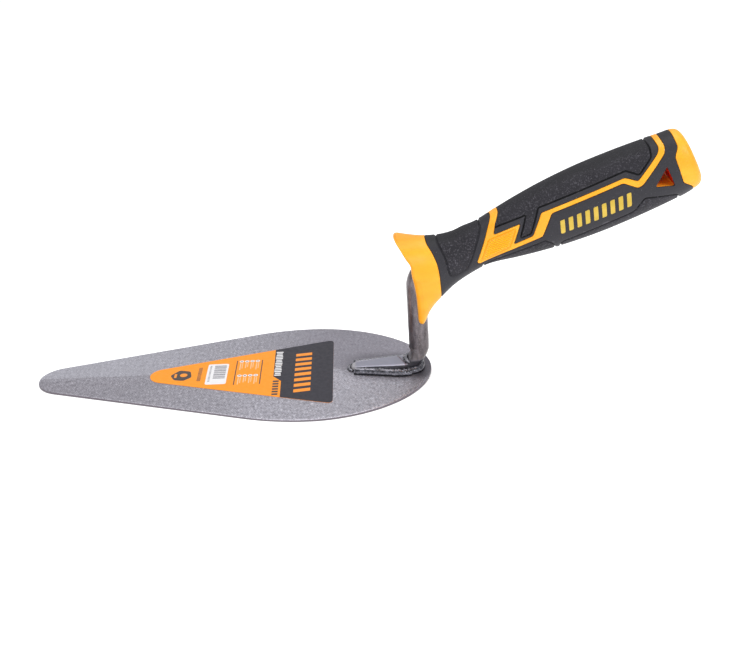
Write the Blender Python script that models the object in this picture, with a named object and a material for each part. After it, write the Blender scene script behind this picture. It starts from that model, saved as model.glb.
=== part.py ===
"""Brick trowel with an overmoulded two-colour handle.

World frame, in metres: +X runs from the blade's tip to the handle, +Z is up and the blade lies flat on
Z = 0.  The XZ plane is the plane of symmetry.  The origin is on the blade's underside, below the neck.
"""

import math

import bmesh
import bpy
from mathutils import Matrix, Vector

MM = 0.001

# Driving dimensions
BLADE_LENGTH = 178 * MM
BLADE_HALF_WIDTH = 45.9 * MM
HEEL_OVERHANG = 5 * MM            # blade left behind the neck
NECK_RADIUS = 4.5 * MM
GRIP_ANGLE = math.radians(22)     # rise of the handle's axis above the blade
GRIP_ORIGIN = Vector((-1.4, 0, 48.7)) * MM   # where the handle's axis crosses the neck
COAT = 2.4 * MM                   # thickness of the soft grip over the hard core
GAP = 0.3 * MM                    # clearance kept between touching pieces

RING_POINTS = 24                  # points round one section of the handle
RING_STEPS = 2                    # rings made for each control section


def clear_scene():
    for old in list(bpy.data.objects):
        bpy.data.objects.remove(old, do_unlink=True)


def new_collection(name):
    collection = bpy.data.collections.new(name)
    bpy.context.scene.collection.children.link(collection)
    return collection


def material(name, colour, roughness, metallic=0.0):
    mat = bpy.data.materials.new(name)
    mat.use_nodes = True
    shader = mat.node_tree.nodes["Principled BSDF"]
    shader.inputs["Base Color"].default_value = (*colour, 1.0)
    shader.inputs["Roughness"].default_value = roughness
    shader.inputs["Metallic"].default_value = metallic
    return mat


def add_mesh(name, bm, collection, mat=None):
    """Turn a bmesh into a mesh object with its faces outward."""
    bm.normal_update()
    bmesh.ops.recalc_face_normals(bm, faces=bm.faces)
    mesh = bpy.data.meshes.new(name)
    bm.to_mesh(mesh)
    bm.free()
    mesh.shade_smooth()
    mesh.set_sharp_from_angle(angle=math.radians(35))
    obj = bpy.data.objects.new(name, mesh)
    collection.objects.link(obj)
    if mat:
        mesh.materials.append(mat)
    return obj


def curve_to_mesh(curve_obj, collection, mat=None):
    """Replace a curve object by a closed mesh, so that it can be cut."""
    name = curve_obj.name
    graph = bpy.context.evaluated_depsgraph_get()
    mesh = bpy.data.meshes.new_from_object(curve_obj.evaluated_get(graph))
    matrix = curve_obj.matrix_world.copy()
    bpy.data.objects.remove(curve_obj, do_unlink=True)
    bm = bmesh.new()
    bm.from_mesh(mesh)
    bpy.data.meshes.remove(mesh)
    bmesh.ops.remove_doubles(bm, verts=bm.verts, dist=0.001 * MM)
    bmesh.ops.transform(bm, matrix=matrix, verts=bm.verts)
    return add_mesh(name, bm, collection, mat)


def extruded_outline(name, outline, thickness, matrix, collection, mat=None, rounding=0.0):
    """A flat plate with the given outline, centred on its own XY plane, then placed by the matrix."""
    curve = bpy.data.curves.new(name, "CURVE")
    curve.dimensions = "2D"
    curve.fill_mode = "BOTH"
    curve.extrude = thickness / 2
    spline = curve.splines.new("POLY")
    points = rounded(outline, rounding) if rounding else outline
    spline.points.add(len(points) - 1)
    for point, (x, y) in zip(spline.points, points):
        point.co = (x, y, 0, 1)
    spline.use_cyclic_u = True
    obj = bpy.data.objects.new(name, curve)
    obj.matrix_world = matrix
    collection.objects.link(obj)
    bpy.context.view_layer.update()
    return curve_to_mesh(obj, collection, mat)


def rounded(outline, radius, steps=4):
    """The same outline with each corner replaced by a short arc, smaller where an edge is short."""
    result = []
    count = len(outline)
    for i, corner in enumerate(outline):
        here = Vector(corner)
        before = Vector(outline[i - 1]) - here
        after = Vector(outline[(i + 1) % count]) - here
        cut = min(radius, before.length * 0.45, after.length * 0.45)
        start = here + before.normalized() * cut
        end = here + after.normalized() * cut
        for k in range(steps + 1):
            u = k / steps
            result.append(tuple(start * (1 - u) ** 2 + here * 2 * u * (1 - u) + end * u ** 2))
    return result


def loft(rings):
    """Skin over closed rings of equal length, capped at both ends."""
    bm = bmesh.new()
    skins = [[bm.verts.new(co) for co in ring] for ring in rings]
    for a, b in zip(skins, skins[1:]):
        for i in range(len(a)):
            j = (i + 1) % len(a)
            bm.faces.new((a[i], a[j], b[j], b[i]))
    bm.faces.new(skins[0])
    bm.faces.new(skins[-1])
    return bm


def boolean(obj, cutter, operation="DIFFERENCE"):
    """Cut or join with one exact Boolean; the cutter stays in the scene, hidden from the render."""
    cutter.hide_render = True
    cutter.display_type = "WIRE"
    modifier = obj.modifiers.new(f"{operation.lower()} {cutter.name}", "BOOLEAN")
    modifier.operation = operation
    modifier.solver = "EXACT"
    modifier.object = cutter


# Blade

BLADE_THICK_HEEL = 1.9 * MM
BLADE_THICK_TIP = 1.3 * MM
BLADE_SIDE_FALL = 0.016           # how fast each half is ground down from the ridge
WIDEST_FROM_HEEL = 55 * MM
SHOULDER_RADIUS = 85 * MM
FLANK_ANGLE = math.radians(18.6)
HEEL_EXPONENT = 1.9
TIP_X = HEEL_OVERHANG - BLADE_LENGTH
GRINDING_ALLOWANCE = 1 * MM       # extra thickness of the blank before it is ground
HEEL_STEPS, SHOULDER_STEPS, TIP_STEPS = 14, 5, 8


def blade_height(x, y):
    """Top face of the blade above the floor: two planes that meet in a ridge on the centre line."""
    along = (HEEL_OVERHANG - x) / BLADE_LENGTH
    ridge = BLADE_THICK_HEEL + (BLADE_THICK_TIP - BLADE_THICK_HEEL) * along
    return ridge - BLADE_SIDE_FALL * abs(y)


def blade_half_outline():
    """Right half from heel to tip: superelliptic heel, shoulder arc, straight flank, tip arc."""
    widest_x = HEEL_OVERHANG - WIDEST_FROM_HEEL
    points = []
    for k in range(HEEL_STEPS + 1):
        angle = math.radians(90) * k / HEEL_STEPS
        x = WIDEST_FROM_HEEL * math.cos(angle) ** (2 / HEEL_EXPONENT)
        y = BLADE_HALF_WIDTH * math.sin(angle) ** (2 / HEEL_EXPONENT)
        points.append((widest_x + x, y))
    for k in range(1, SHOULDER_STEPS + 1):
        angle = FLANK_ANGLE * k / SHOULDER_STEPS
        drop = SHOULDER_RADIUS * (1 - math.cos(angle))
        points.append((widest_x - SHOULDER_RADIUS * math.sin(angle), BLADE_HALF_WIDTH - drop))
    # the tip's arc touches both the flank and the blade's full length
    flank_x, flank_y = points[-1]
    slope = math.tan(FLANK_ANGLE)
    reach = flank_x - TIP_X
    cosine = math.cos(FLANK_ANGLE)
    tip_radius = (flank_y - slope * reach) * cosine / (1 - math.sin(FLANK_ANGLE))
    for k in range(TIP_STEPS):
        angle = (math.radians(90) - FLANK_ANGLE) * (1 - k / TIP_STEPS)
        x = TIP_X + tip_radius - tip_radius * math.cos(angle)
        points.append((x, tip_radius * math.sin(angle)))
    points.append((TIP_X, 0.0))
    return points


def build_blade(parts, cutters, steel):
    half = blade_half_outline()
    outline = half + [(x, -y) for x, y in reversed(half[1:-1])]
    blank = BLADE_THICK_HEEL + GRINDING_ALLOWANCE
    blade = extruded_outline("blade", outline, blank, Matrix.Translation((0, 0, blank / 2)), parts, steel)
    for side in (-1, 1):
        boolean(blade, grinding_block(side, cutters))
    return blade


def grinding_block(side, cutters):
    """A block whose lower face is the finished top face of one half of the blade."""
    margin = 20 * MM
    past_ridge = 2 * MM
    bm = bmesh.new()
    bmesh.ops.create_cube(bm, size=1)
    for vert in bm.verts:
        x = TIP_X - margin if vert.co.x < 0 else HEEL_OVERHANG + margin
        reach = -past_ridge if vert.co.y < 0 else BLADE_HALF_WIDTH + margin
        face = blade_height(x, 0) - BLADE_SIDE_FALL * reach
        vert.co = (x, side * reach, face if vert.co.z < 0 else margin)
    return add_mesh(f"grind_{'left' if side > 0 else 'right'}", bm, cutters)


# Shank: one forging that runs from the flattened foot, up the neck and back into the handle

FOOT_BASE = BLADE_THICK_HEEL + GAP
NECK_X = -0.4 * MM                # the neck's centre where it leaves the foot
NECK_TOP_Z = 41 * MM              # where the neck starts to bend into the handle
NECK_LEAN = 0.03                  # towards the tip, per unit of height
LOW_BEND_RADIUS = NECK_RADIUS + 1.6 * MM
TANG_LENGTH = 88 * MM             # along the handle's axis, from the neck
TANG_DROP = 1.5 * MM              # the tang lies this far under the handle's axis
ROUND = 2.0                       # exponent of a round section
SQUARISH = 3.2                    # exponent of the foot's sections
# Foot sections from nose to heel: X, half width, thickness, in millimetres
FOOT_SECTIONS = ((-30, 2.4, 1.2), (-29, 3.4, 1.7), (-24, 4.4, 2.3), (-17, 5.6, 3.0), (-11, 6.4, 4.0))
HEEL_SECTION = (6.2, 2.3, 2.6)    # half width, half height and exponent where the lower bend starts
NECK_SHARES = (0.33, 0.67, 1.0)
# Tang sections: share of its length, share of the neck's radius
TANG_SECTIONS = ((0.3, 1.0), (0.97, 0.72), (1.0, 0.55))
BEND_STEPS = 6
ACROSS = Vector((0, 1, 0))
UP = Vector((0, 0, 1))


def grip_point(s, t, y=0.0):
    """World position of a point given along the handle's axis, above it, and to the side."""
    cosine, sine = math.cos(GRIP_ANGLE), math.sin(GRIP_ANGLE)
    return GRIP_ORIGIN + Vector((s * cosine - t * sine, y, s * sine + t * cosine))


def oval_ring(centre, up, half_width, half_height, exponent, points=20):
    """Superelliptic section across the handle's plane of symmetry."""
    ring = []
    for k in range(points):
        angle = math.tau * (k + 0.5) / points
        c, s = math.cos(angle), math.sin(angle)
        width = half_width * math.copysign(abs(c) ** (2 / exponent), c)
        height = half_height * math.copysign(abs(s) ** (2 / exponent), s)
        ring.append(centre + ACROSS * width + up * height)
    return ring


def round_ring(centre, up, radius):
    return oval_ring(centre, up, radius, radius, ROUND)


def foot_rings(grow):
    """The foot widens and thickens from its nose towards the neck."""
    rings = []
    for x, half_width, thickness in FOOT_SECTIONS:
        centre = Vector((x * MM, 0, FOOT_BASE + thickness * MM / 2))
        half_height = thickness * MM / 2 + grow
        rings.append(oval_ring(centre, UP, half_width * MM + grow, half_height, SQUARISH))
    return rings


def low_bend_rings(hub, grow):
    """A quarter turn from the flat foot to the round neck."""
    rings = []
    heel = Vector((HEEL_SECTION[0] * MM, HEEL_SECTION[1] * MM, HEEL_SECTION[2]))
    neck = Vector((NECK_RADIUS, NECK_RADIUS, ROUND))
    for k in range(1, BEND_STEPS + 1):
        turned = k / BEND_STEPS
        angle = math.radians(90) * turned
        spoke = Vector((math.sin(angle), 0, -math.cos(angle)))
        half_width, half_height, exponent = heel.lerp(neck, turned)
        outer = hub + spoke * (LOW_BEND_RADIUS + NECK_RADIUS)
        centre = outer - spoke * half_height
        rings.append(oval_ring(centre, spoke, half_width + grow, half_height + grow, exponent))
    return rings


def shank_rings(grow=0.0):
    """Sections of the shank from the foot's nose to the end of the tang."""
    radius = NECK_RADIUS + grow
    low_hub = Vector((NECK_X - LOW_BEND_RADIUS, 0, FOOT_BASE + NECK_RADIUS + LOW_BEND_RADIUS))
    rings = foot_rings(grow) + low_bend_rings(low_hub, grow)

    # neck
    lean = Vector((-NECK_LEAN, 0, 1)).normalized()
    forward = Vector((lean.z, 0, -lean.x))
    start = low_hub + Vector((LOW_BEND_RADIUS, 0, 0))
    top = start + lean * (NECK_TOP_Z - start.z)
    for share in NECK_SHARES:
        rings.append(round_ring(start.lerp(top, share), forward, radius))

    # upper bend, with the radius that brings it onto the tang's line
    tang_dir = Vector((math.cos(GRIP_ANGLE), 0, math.sin(GRIP_ANGLE)))
    tang_up = Vector((-tang_dir.z, 0, tang_dir.x))
    turn = lean.angle(tang_dir)
    rise = (grip_point(0, -TANG_DROP) - top).dot(tang_up)
    bend_radius = rise / (1 - math.cos(turn))
    hub = top + forward * bend_radius
    for k in range(1, BEND_STEPS + 1):
        angle = turn * k / BEND_STEPS
        spoke = lean * math.sin(angle) - forward * math.cos(angle)
        rings.append(round_ring(hub + spoke * bend_radius, -spoke, radius))

    # tang
    bend_end = hub + tang_up * bend_radius
    reach = TANG_LENGTH - (bend_end - GRIP_ORIGIN).dot(tang_dir)
    for share, size in TANG_SECTIONS:
        extra = grow if share == 1.0 else 0.0
        centre = bend_end + tang_dir * (reach * share + extra)
        rings.append(round_ring(centre, -tang_up, NECK_RADIUS * size + grow))
    return rings


# Handle: smooth envelope of core and grip together

UPPER_EXPONENT = 2.3              # shape of every section's upper half
# Control sections of guard and collar: bottom, knee and top of the middle line in X and Z, half width,
# how far the lower half narrows, and the exponent of the lower half
GUARD_SECTIONS = (
    ((-0.7, 24.0), (-1.2, 57.0), (-11.6, 64.8), 14.2, 0.50, 5.0),
    ((1.7, 24.8), (2.0, 52.5), (-5.0, 64.1), 13.8, 0.48, 4.6),
    ((5.0, 31.0), (5.8, 49.0), (1.5, 63.7), 12.6, 0.40, 3.8),
    ((9.6, 36.6), (10.2, 49.5), (8.0, 64.1), 11.2, 0.26, 3.2),
    ((16.4, 43.0), (16.2, 54.0), (14.5, 65.5), 10.1, 0.12, 2.6),
)
# Control sections of the grip: distance along the axis, half height, half width
GRIP_SECTIONS = (
    (26.0, 9.9, 9.4), (33.0, 10.0, 9.2), (43.0, 11.8, 10.3), (53.0, 13.3, 11.4), (65.0, 14.6, 12.5),
    (80.0, 15.4, 13.2), (95.0, 15.3, 13.1), (108.0, 14.8, 12.5), (118.0, 14.1, 11.8),
)
# The rounded end: along and above the axis for the top, the same for the bottom, half width
END_SECTIONS = (
    ((122.0, 13.9), (122.4, -13.3), 11.4),
    ((124.8, 12.6), (125.6, -12.3), 10.4),
    ((126.2, 9.2), (127.2, -10.0), 8.0),
    ((126.9, 3.0), (127.5, -6.0), 3.6),
)


def grip_control(top, bottom, half_width, taper=0.0, exponent=UPPER_EXPONENT):
    """One control section given in the handle's own frame, in millimetres."""
    high = grip_point(top[0] * MM, top[1] * MM)
    low = grip_point(bottom[0] * MM, bottom[1] * MM)
    knee = (high + low) / 2
    return [low.x, low.z, knee.x, knee.z, high.x, high.z, half_width * MM, taper, exponent]


def control_sections():
    controls = []
    for low, knee, high, half_width, taper, exponent in GUARD_SECTIONS:
        lengths = [value * MM for value in (*low, *knee, *high, half_width)]
        controls.append([*lengths, taper, exponent])
    for s, half_height, half_width in GRIP_SECTIONS:
        controls.append(grip_control((s, half_height), (s, -half_height), half_width))
    for top, bottom, half_width in END_SECTIONS:
        controls.append(grip_control(top, bottom, half_width))
    return controls


def catmull_rom(controls, index, u):
    """Point between two control rows, on a smooth curve through all of them."""
    last = len(controls) - 1
    rows = [controls[min(max(index + k, 0), last)] for k in (-1, 0, 1, 2)]
    result = []
    for a, b, c, d in zip(*rows):
        result.append(0.5 * (2 * b + (c - a) * u + (2 * a - 5 * b + 4 * c - d) * u ** 2
                             + (3 * b - a - 3 * c + d) * u ** 3))
    return result


def section_ring(section, inset=0.0):
    """Closed ring of one section, whose middle line is a quadratic curve pulled towards the knee."""
    low = Vector((section[0], section[1]))
    knee = Vector((section[2], section[3]))
    high = Vector((section[4], section[5]))
    half_width, taper, lower_exponent = section[6] - inset, section[7], section[8]
    height = (high - low).length
    margin = inset / height
    ring = []
    for k in range(RING_POINTS):
        angle = math.tau * (k + 0.5) / RING_POINTS
        c, s = math.cos(angle), math.sin(angle)
        exponent = UPPER_EXPONENT if s >= 0 else lower_exponent
        side = half_width * math.copysign(abs(c) ** (2 / exponent), c)
        rise = math.copysign(abs(s) ** (2 / exponent), s)
        if s < 0:
            side *= 1 + taper * rise
        u = margin + (1 - 2 * margin) * (rise + 1) / 2
        middle = low * (1 - u) ** 2 + knee * 2 * u * (1 - u) + high * u ** 2
        ring.append(Vector((middle.x, side, middle.y)))
    return ring


def envelope_rings(controls, inset=0.0):
    """Rings along the handle, pulled in by the inset where a smaller copy is needed."""
    rings = []
    for index in range(len(controls) - 1):
        for k in range(RING_STEPS):
            rings.append(section_ring(catmull_rom(controls, index, k / RING_STEPS), inset))
    rings.append(section_ring(controls[-1], inset))
    return rings


# Colour zones: outlines in the handle's frame (along the axis, above it), in millimetres, both sides alike

OVER_TOP = 18.0      # an outline that ends here passes over the handle's top
UNDER = -18.0
STRIPE_OUTER = (
    (39.2, OVER_TOP), (39.2, 11.2), (36.6, 8.0), (32.9, 3.4), (26.4, -4.6), (27.0, -5.9), (40.8, -5.0),
    (56.3, -4.0), (63.4, 4.5), (95.2, 4.9), (100.2, 0.5), (102.4, 0.7), (115.4, 9.2), (116.6, 11.5),
    (116.0, OVER_TOP),
)
STRIPE_INNER = (
    (42.9, OVER_TOP), (42.9, 11.7), (40.0, 8.3), (38.3, 4.7), (49.0, 5.2), (44.4, -2.5), (52.6, -2.1),
    (59.4, 6.3), (96.6, 6.8), (101.2, 3.3), (112.9, 10.3), (114.1, 12.0), (113.4, OVER_TOP),
)
CAP_ZONE = (
    (121.6, OVER_TOP), (121.3, 9.5), (118.7, 6.2), (118.6, -5.8), (121.8, -9.6), (123.8, UNDER),
    (134.0, UNDER), (134.0, OVER_TOP),
)
# The guard's zone is given in world X and Z
GUARD_ZONE = (
    (1.6, 72.0), (2.6, 63.4), (5.2, 60.2), (7.4, 55.4), (8.5, 50.0), (9.6, 38.8), (10.2, 14.0),
    (-24.0, 14.0), (-24.0, 72.0),
)
# Hang hole: a triangle with one level side, also in world X and Z
HANG_HOLE = ((98.4, 86.4), (107.6, 86.4), (103.1, 95.8))
ZONE_ROUNDING = 0.8 * MM
GUARD_ROUNDING = 2 * MM
HOLE_ROUNDING = 1.2 * MM
ZONE_DEPTH = 50 * MM              # wider than the handle, so that a zone passes right through it


def in_metres(outline):
    return [(x * MM, y * MM) for x, y in outline]


def grown(outline, distance):
    """The same outline with every side moved outward; the corners stay sharp."""
    count = len(outline)
    area = sum(outline[i - 1][0] * outline[i][1] - outline[i][0] * outline[i - 1][1] for i in range(count))
    turn = 1 if area > 0 else -1
    result = []
    for i in range(count):
        here = Vector(outline[i])
        inward = (here - Vector(outline[i - 1])).normalized()
        onward = (Vector(outline[(i + 1) % count]) - here).normalized()
        normal_a = Vector((inward.y, -inward.x)) * turn
        normal_b = Vector((onward.y, -onward.x)) * turn
        mitre = (normal_a + normal_b) / (1 + normal_a.dot(normal_b))
        result.append(tuple(here + mitre * distance))
    return result


def zone_prism(name, outline, cutters, rounding=ZONE_ROUNDING, grow=0.0, in_handle_frame=True):
    """A prism across the whole handle, whose outline is given in the XZ plane or the handle's frame."""
    upright = Matrix.Rotation(math.radians(90), 4, "X")
    if in_handle_frame:
        matrix = Matrix.Translation(GRIP_ORIGIN) @ Matrix.Rotation(-GRIP_ANGLE, 4, "Y") @ upright
    else:
        matrix = upright
    points = grown(in_metres(outline), grow) if grow else in_metres(outline)
    prism = extruded_outline(name, points, ZONE_DEPTH, matrix, cutters, rounding=rounding)
    prism.hide_render = True
    prism.display_type = "WIRE"
    return prism


def world_prism(name, outline, cutters, rounding, grow=0.0):
    return zone_prism(name, outline, cutters, rounding, grow, in_handle_frame=False)


def build_core(controls, parts, cutters, yellow):
    """Hard core: an inner bar, with the coloured zones brought out to the surface."""
    skin = add_mesh("core_skin", loft(envelope_rings(controls)), cutters)
    zones = world_prism("guard_zone", GUARD_ZONE, cutters, GUARD_ROUNDING)
    boolean(zones, zone_prism("stripe_zone", STRIPE_OUTER + STRIPE_INNER[::-1], cutters), "UNION")
    boolean(zones, zone_prism("cap_zone", CAP_ZONE, cutters), "UNION")
    boolean(skin, zones, "INTERSECT")
    core = add_mesh("handle_core", loft(envelope_rings(controls[1:-1], COAT)), parts, yellow)
    boolean(core, skin, "UNION")
    boolean(core, add_mesh("tang_bore", loft(shank_rings(GAP)), cutters))
    boolean(core, world_prism("hang_hole", HANG_HOLE, cutters, HOLE_ROUNDING))


def build_grip(controls, parts, cutters, black):
    """Soft grip: what is left of the envelope outside the core, in two pieces."""
    bar = add_mesh("core_bar", loft(envelope_rings(controls[1:-1], COAT - GAP)), cutters)
    body = add_mesh("grip_body", loft(envelope_rings(controls)), parts, black)
    boolean(body, bar)
    boolean(body, world_prism("guard_side", GUARD_ZONE, cutters, GUARD_ROUNDING, GAP))
    boolean(body, zone_prism("cap_side", CAP_ZONE, cutters, grow=GAP))
    boolean(body, zone_prism("stripe_side", STRIPE_OUTER, cutters, grow=GAP))
    boolean(body, world_prism("hole_window", HANG_HOLE, cutters, HOLE_ROUNDING, GAP))
    pad = add_mesh("grip_back_pad", loft(envelope_rings(controls)), parts, black)
    boolean(pad, zone_prism("pad_zone", STRIPE_INNER, cutters, grow=-GAP), "INTERSECT")
    boolean(pad, bar)


# Weld beads between foot and blade

SIDE_BEAD_RADIUS = 1.3 * MM
TOE_BEAD_RADIUS = 0.9 * MM
HEEL_BEAD_RADIUS = 1.5 * MM
# Paths in X and Y, in millimetres; the side beads' paths are for the left side
SIDE_BEAD = ((-27.5, 6.2), (-18.0, 7.6), (-10.0, 8.7))
TOE_BEAD = ((-29.5, -4.9), (-31.6, -2.6), (-31.6, 2.6), (-29.5, 4.9))
HEEL_BEAD_X = -6 * MM             # centre of the half ellipse behind the neck
HEEL_BEAD_REACH = 8.2 * MM
HEEL_BEAD_HALF_WIDTH = 8.6 * MM
HEEL_BEAD_STEPS = 12


def weld_bead(name, path, radius, parts, mat):
    """A round bead that lies on the blade along the given X and Y points."""
    curve = bpy.data.curves.new(name, "CURVE")
    curve.dimensions = "3D"
    curve.bevel_depth = radius
    curve.bevel_resolution = 1
    curve.use_fill_caps = True
    spline = curve.splines.new("POLY")
    spline.points.add(len(path) - 1)
    for point, (x, y) in zip(spline.points, path):
        point.co = (x, y, BLADE_THICK_HEEL + GAP + radius, 1)
    bead = bpy.data.objects.new(name, curve)
    bead.data.materials.append(mat)
    parts.objects.link(bead)


def build_welds(parts, mat):
    for name, side in (("weld_left", 1), ("weld_right", -1)):
        path = in_metres([(x, side * y) for x, y in SIDE_BEAD])
        weld_bead(name, path, SIDE_BEAD_RADIUS, parts, mat)
    weld_bead("weld_toe", in_metres(TOE_BEAD), TOE_BEAD_RADIUS, parts, mat)
    heel = []
    for k in range(HEEL_BEAD_STEPS + 1):
        angle = math.pi * (k / HEEL_BEAD_STEPS - 0.5)
        x = HEEL_BEAD_X + HEEL_BEAD_REACH * math.cos(angle)
        heel.append((x, HEEL_BEAD_HALF_WIDTH * math.sin(angle)))
    weld_bead("weld_heel", heel, HEEL_BEAD_RADIUS, parts, mat)


# Label: a thin sheet stuck along the ridge

LABEL_REAR_X = -39.6 * MM
LABEL_LENGTH = 83 * MM
LABEL_HALF_WIDTH = 32 * MM
LABEL_OFFSET_Y = -0.6 * MM
LABEL_TIP_RADIUS = 7 * MM
LABEL_THICKNESS = 0.2 * MM
LABEL_TIP_STEPS = 10


def label_outline():
    """Truncated triangle with its rounded tip towards the blade's tip."""
    tip_x = LABEL_REAR_X - LABEL_LENGTH
    hub_x = tip_x + LABEL_TIP_RADIUS
    reach = LABEL_REAR_X - hub_x
    slope = math.asin((LABEL_HALF_WIDTH - LABEL_TIP_RADIUS) / math.hypot(reach, LABEL_HALF_WIDTH))
    points = [(LABEL_REAR_X, -LABEL_HALF_WIDTH), (LABEL_REAR_X, LABEL_HALF_WIDTH)]
    for k in range(LABEL_TIP_STEPS + 1):
        angle = math.radians(90) + slope + (math.pi - 2 * slope) * k / LABEL_TIP_STEPS
        points.append((hub_x + LABEL_TIP_RADIUS * math.cos(angle), LABEL_TIP_RADIUS * math.sin(angle)))
    return [(x, y + LABEL_OFFSET_Y) for x, y in points]


def build_label(parts, mat):
    """The sheet is folded over the blade's ridge."""
    flat = Matrix.Translation((0, 0, LABEL_THICKNESS / 2))
    label = extruded_outline("blade_label", label_outline(), LABEL_THICKNESS, flat, parts, mat)
    bm = bmesh.new()
    bm.from_mesh(label.data)
    everything = bm.verts[:] + bm.edges[:] + bm.faces[:]
    bmesh.ops.bisect_plane(bm, geom=everything, plane_co=(0, 0, 0), plane_no=(0, 1, 0))
    for vert in bm.verts:
        vert.co.z += blade_height(vert.co.x, vert.co.y) + GAP
    bm.to_mesh(label.data)
    bm.free()
    label.data.materials[0] = mat


def main():
    clear_scene()
    parts = new_collection("brick_trowel")
    cutters = new_collection("cutters")
    steel = material("ground_steel", (0.42, 0.41, 0.44), 0.38, 0.9)
    forged = material("lacquered_steel", (0.20, 0.18, 0.18), 0.35, 0.8)
    weld = material("weld_metal", (0.12, 0.12, 0.14), 0.25, 0.8)
    paper = material("label_film", (1.0, 0.42, 0.04), 0.35)
    yellow = material("yellow_plastic", (1.0, 0.52, 0.035), 0.42)
    black = material("soft_black", (0.055, 0.052, 0.062), 0.55)
    build_blade(parts, cutters, steel)
    add_mesh("shank", loft(shank_rings()), parts, forged)
    build_welds(parts, weld)
    build_label(parts, paper)
    controls = control_sections()
    build_core(controls, parts, cutters, yellow)
    build_grip(controls, parts, cutters, black)


main()
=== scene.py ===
import math

import bmesh
import bpy
import numpy as np
from mathutils import Matrix, Vector, noise
from mathutils.bvhtree import BVHTree


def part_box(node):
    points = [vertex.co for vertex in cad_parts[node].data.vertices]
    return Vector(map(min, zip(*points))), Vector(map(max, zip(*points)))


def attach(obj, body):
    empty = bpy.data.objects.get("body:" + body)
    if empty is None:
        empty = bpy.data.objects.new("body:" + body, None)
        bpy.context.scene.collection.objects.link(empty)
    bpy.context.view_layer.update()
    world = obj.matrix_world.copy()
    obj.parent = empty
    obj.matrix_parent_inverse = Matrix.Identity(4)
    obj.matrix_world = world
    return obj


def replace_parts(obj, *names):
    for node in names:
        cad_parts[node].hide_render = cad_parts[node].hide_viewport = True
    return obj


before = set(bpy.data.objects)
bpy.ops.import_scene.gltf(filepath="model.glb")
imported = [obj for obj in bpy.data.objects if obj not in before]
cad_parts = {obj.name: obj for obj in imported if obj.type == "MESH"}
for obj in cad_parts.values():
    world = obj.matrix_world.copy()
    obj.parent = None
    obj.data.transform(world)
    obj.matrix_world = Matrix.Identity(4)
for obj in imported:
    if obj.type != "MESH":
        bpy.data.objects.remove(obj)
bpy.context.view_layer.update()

MM = 0.001
ROOT = "root"

# The handle's own frame: distance along its axis, height above it, side
GRIP_ANGLE = math.radians(22)
GRIP_ORIGIN = np.array([-1.4, 0, 48.7]) * MM
GRIP_ALONG = np.array([math.cos(GRIP_ANGLE), 0, math.sin(GRIP_ANGLE)])
GRIP_ABOVE = np.array([-math.sin(GRIP_ANGLE), 0, math.cos(GRIP_ANGLE)])


# ---------------------------------------------------------------- small helpers

def rounded(outline, radius, steps=5, closed=True):
    """The same outline with each corner replaced by a short arc, smaller where an edge is short."""
    points = [Vector(p) for p in outline]
    result = []
    for i, here in enumerate(points):
        if not closed and i in (0, len(points) - 1):
            result.append(tuple(here))
            continue
        before = points[i - 1] - here
        after = points[(i + 1) % len(points)] - here
        cut = min(radius, before.length * 0.45, after.length * 0.45)
        start = here + before.normalized() * cut
        end = here + after.normalized() * cut
        for k in range(steps + 1):
            u = k / steps
            result.append(tuple(start * (1 - u) ** 2 + here * 2 * u * (1 - u) + end * u ** 2))
    return result


def in_metres(outline, rounding=0.0):
    points = [(x * MM, y * MM) for x, y in outline]
    return np.array(rounded(points, rounding) if rounding else points)


def line_distance(points, a, b):
    """Distance of each point to the straight line between two ends."""
    edge, offset = b - a, points - a
    along = np.clip(offset @ edge / (edge @ edge), 0, 1)
    return np.linalg.norm(offset - along[:, None] * edge, axis=1)


def inside_distance(points, outline):
    """Distance in the plane to a closed outline, positive inside it."""
    nearest = np.full(len(points), np.inf)
    inside = np.zeros(len(points), bool)
    for a, b in zip(outline, np.roll(outline, -1, 0)):
        nearest = np.minimum(nearest, line_distance(points, a, b))
        if a[1] != b[1]:
            crosses = (a[1] > points[:, 1]) != (b[1] > points[:, 1])
            crossing_x = a[0] + (points[:, 1] - a[1]) / (b[1] - a[1]) * (b - a)[0]
            inside ^= crosses & (points[:, 0] < crossing_x)
    return np.where(inside, 1, -1) * nearest


def grip_plane(co):
    """Points as distance along the handle's axis and height above it."""
    offset = co - GRIP_ORIGIN
    return np.stack([offset @ GRIP_ALONG, offset @ GRIP_ABOVE], 1)


def side_plane(co):
    return co[:, [0, 2]]


def coordinates(bm):
    return np.array([v.co[:] for v in bm.verts])


def add_field(bm, values):
    """Keep one number at each vertex; it is interpolated wherever an edge is split."""
    layer = bm.verts.layers.float.new()
    for vert, value in zip(bm.verts, values):
        vert[layer] = value
    return layer


def layer_values(bm, layer):
    return np.array([v[layer] for v in bm.verts])


def leave_attribute(bm, name, values):
    """Drop the fields used while cutting and leave one named number that a material reads."""
    for layer in bm.verts.layers.float.values():
        bm.verts.layers.float.remove(layer)
    layer = bm.verts.layers.float.new(name)
    for vert, value in zip(bm.verts, values):
        vert[layer] = value


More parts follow.
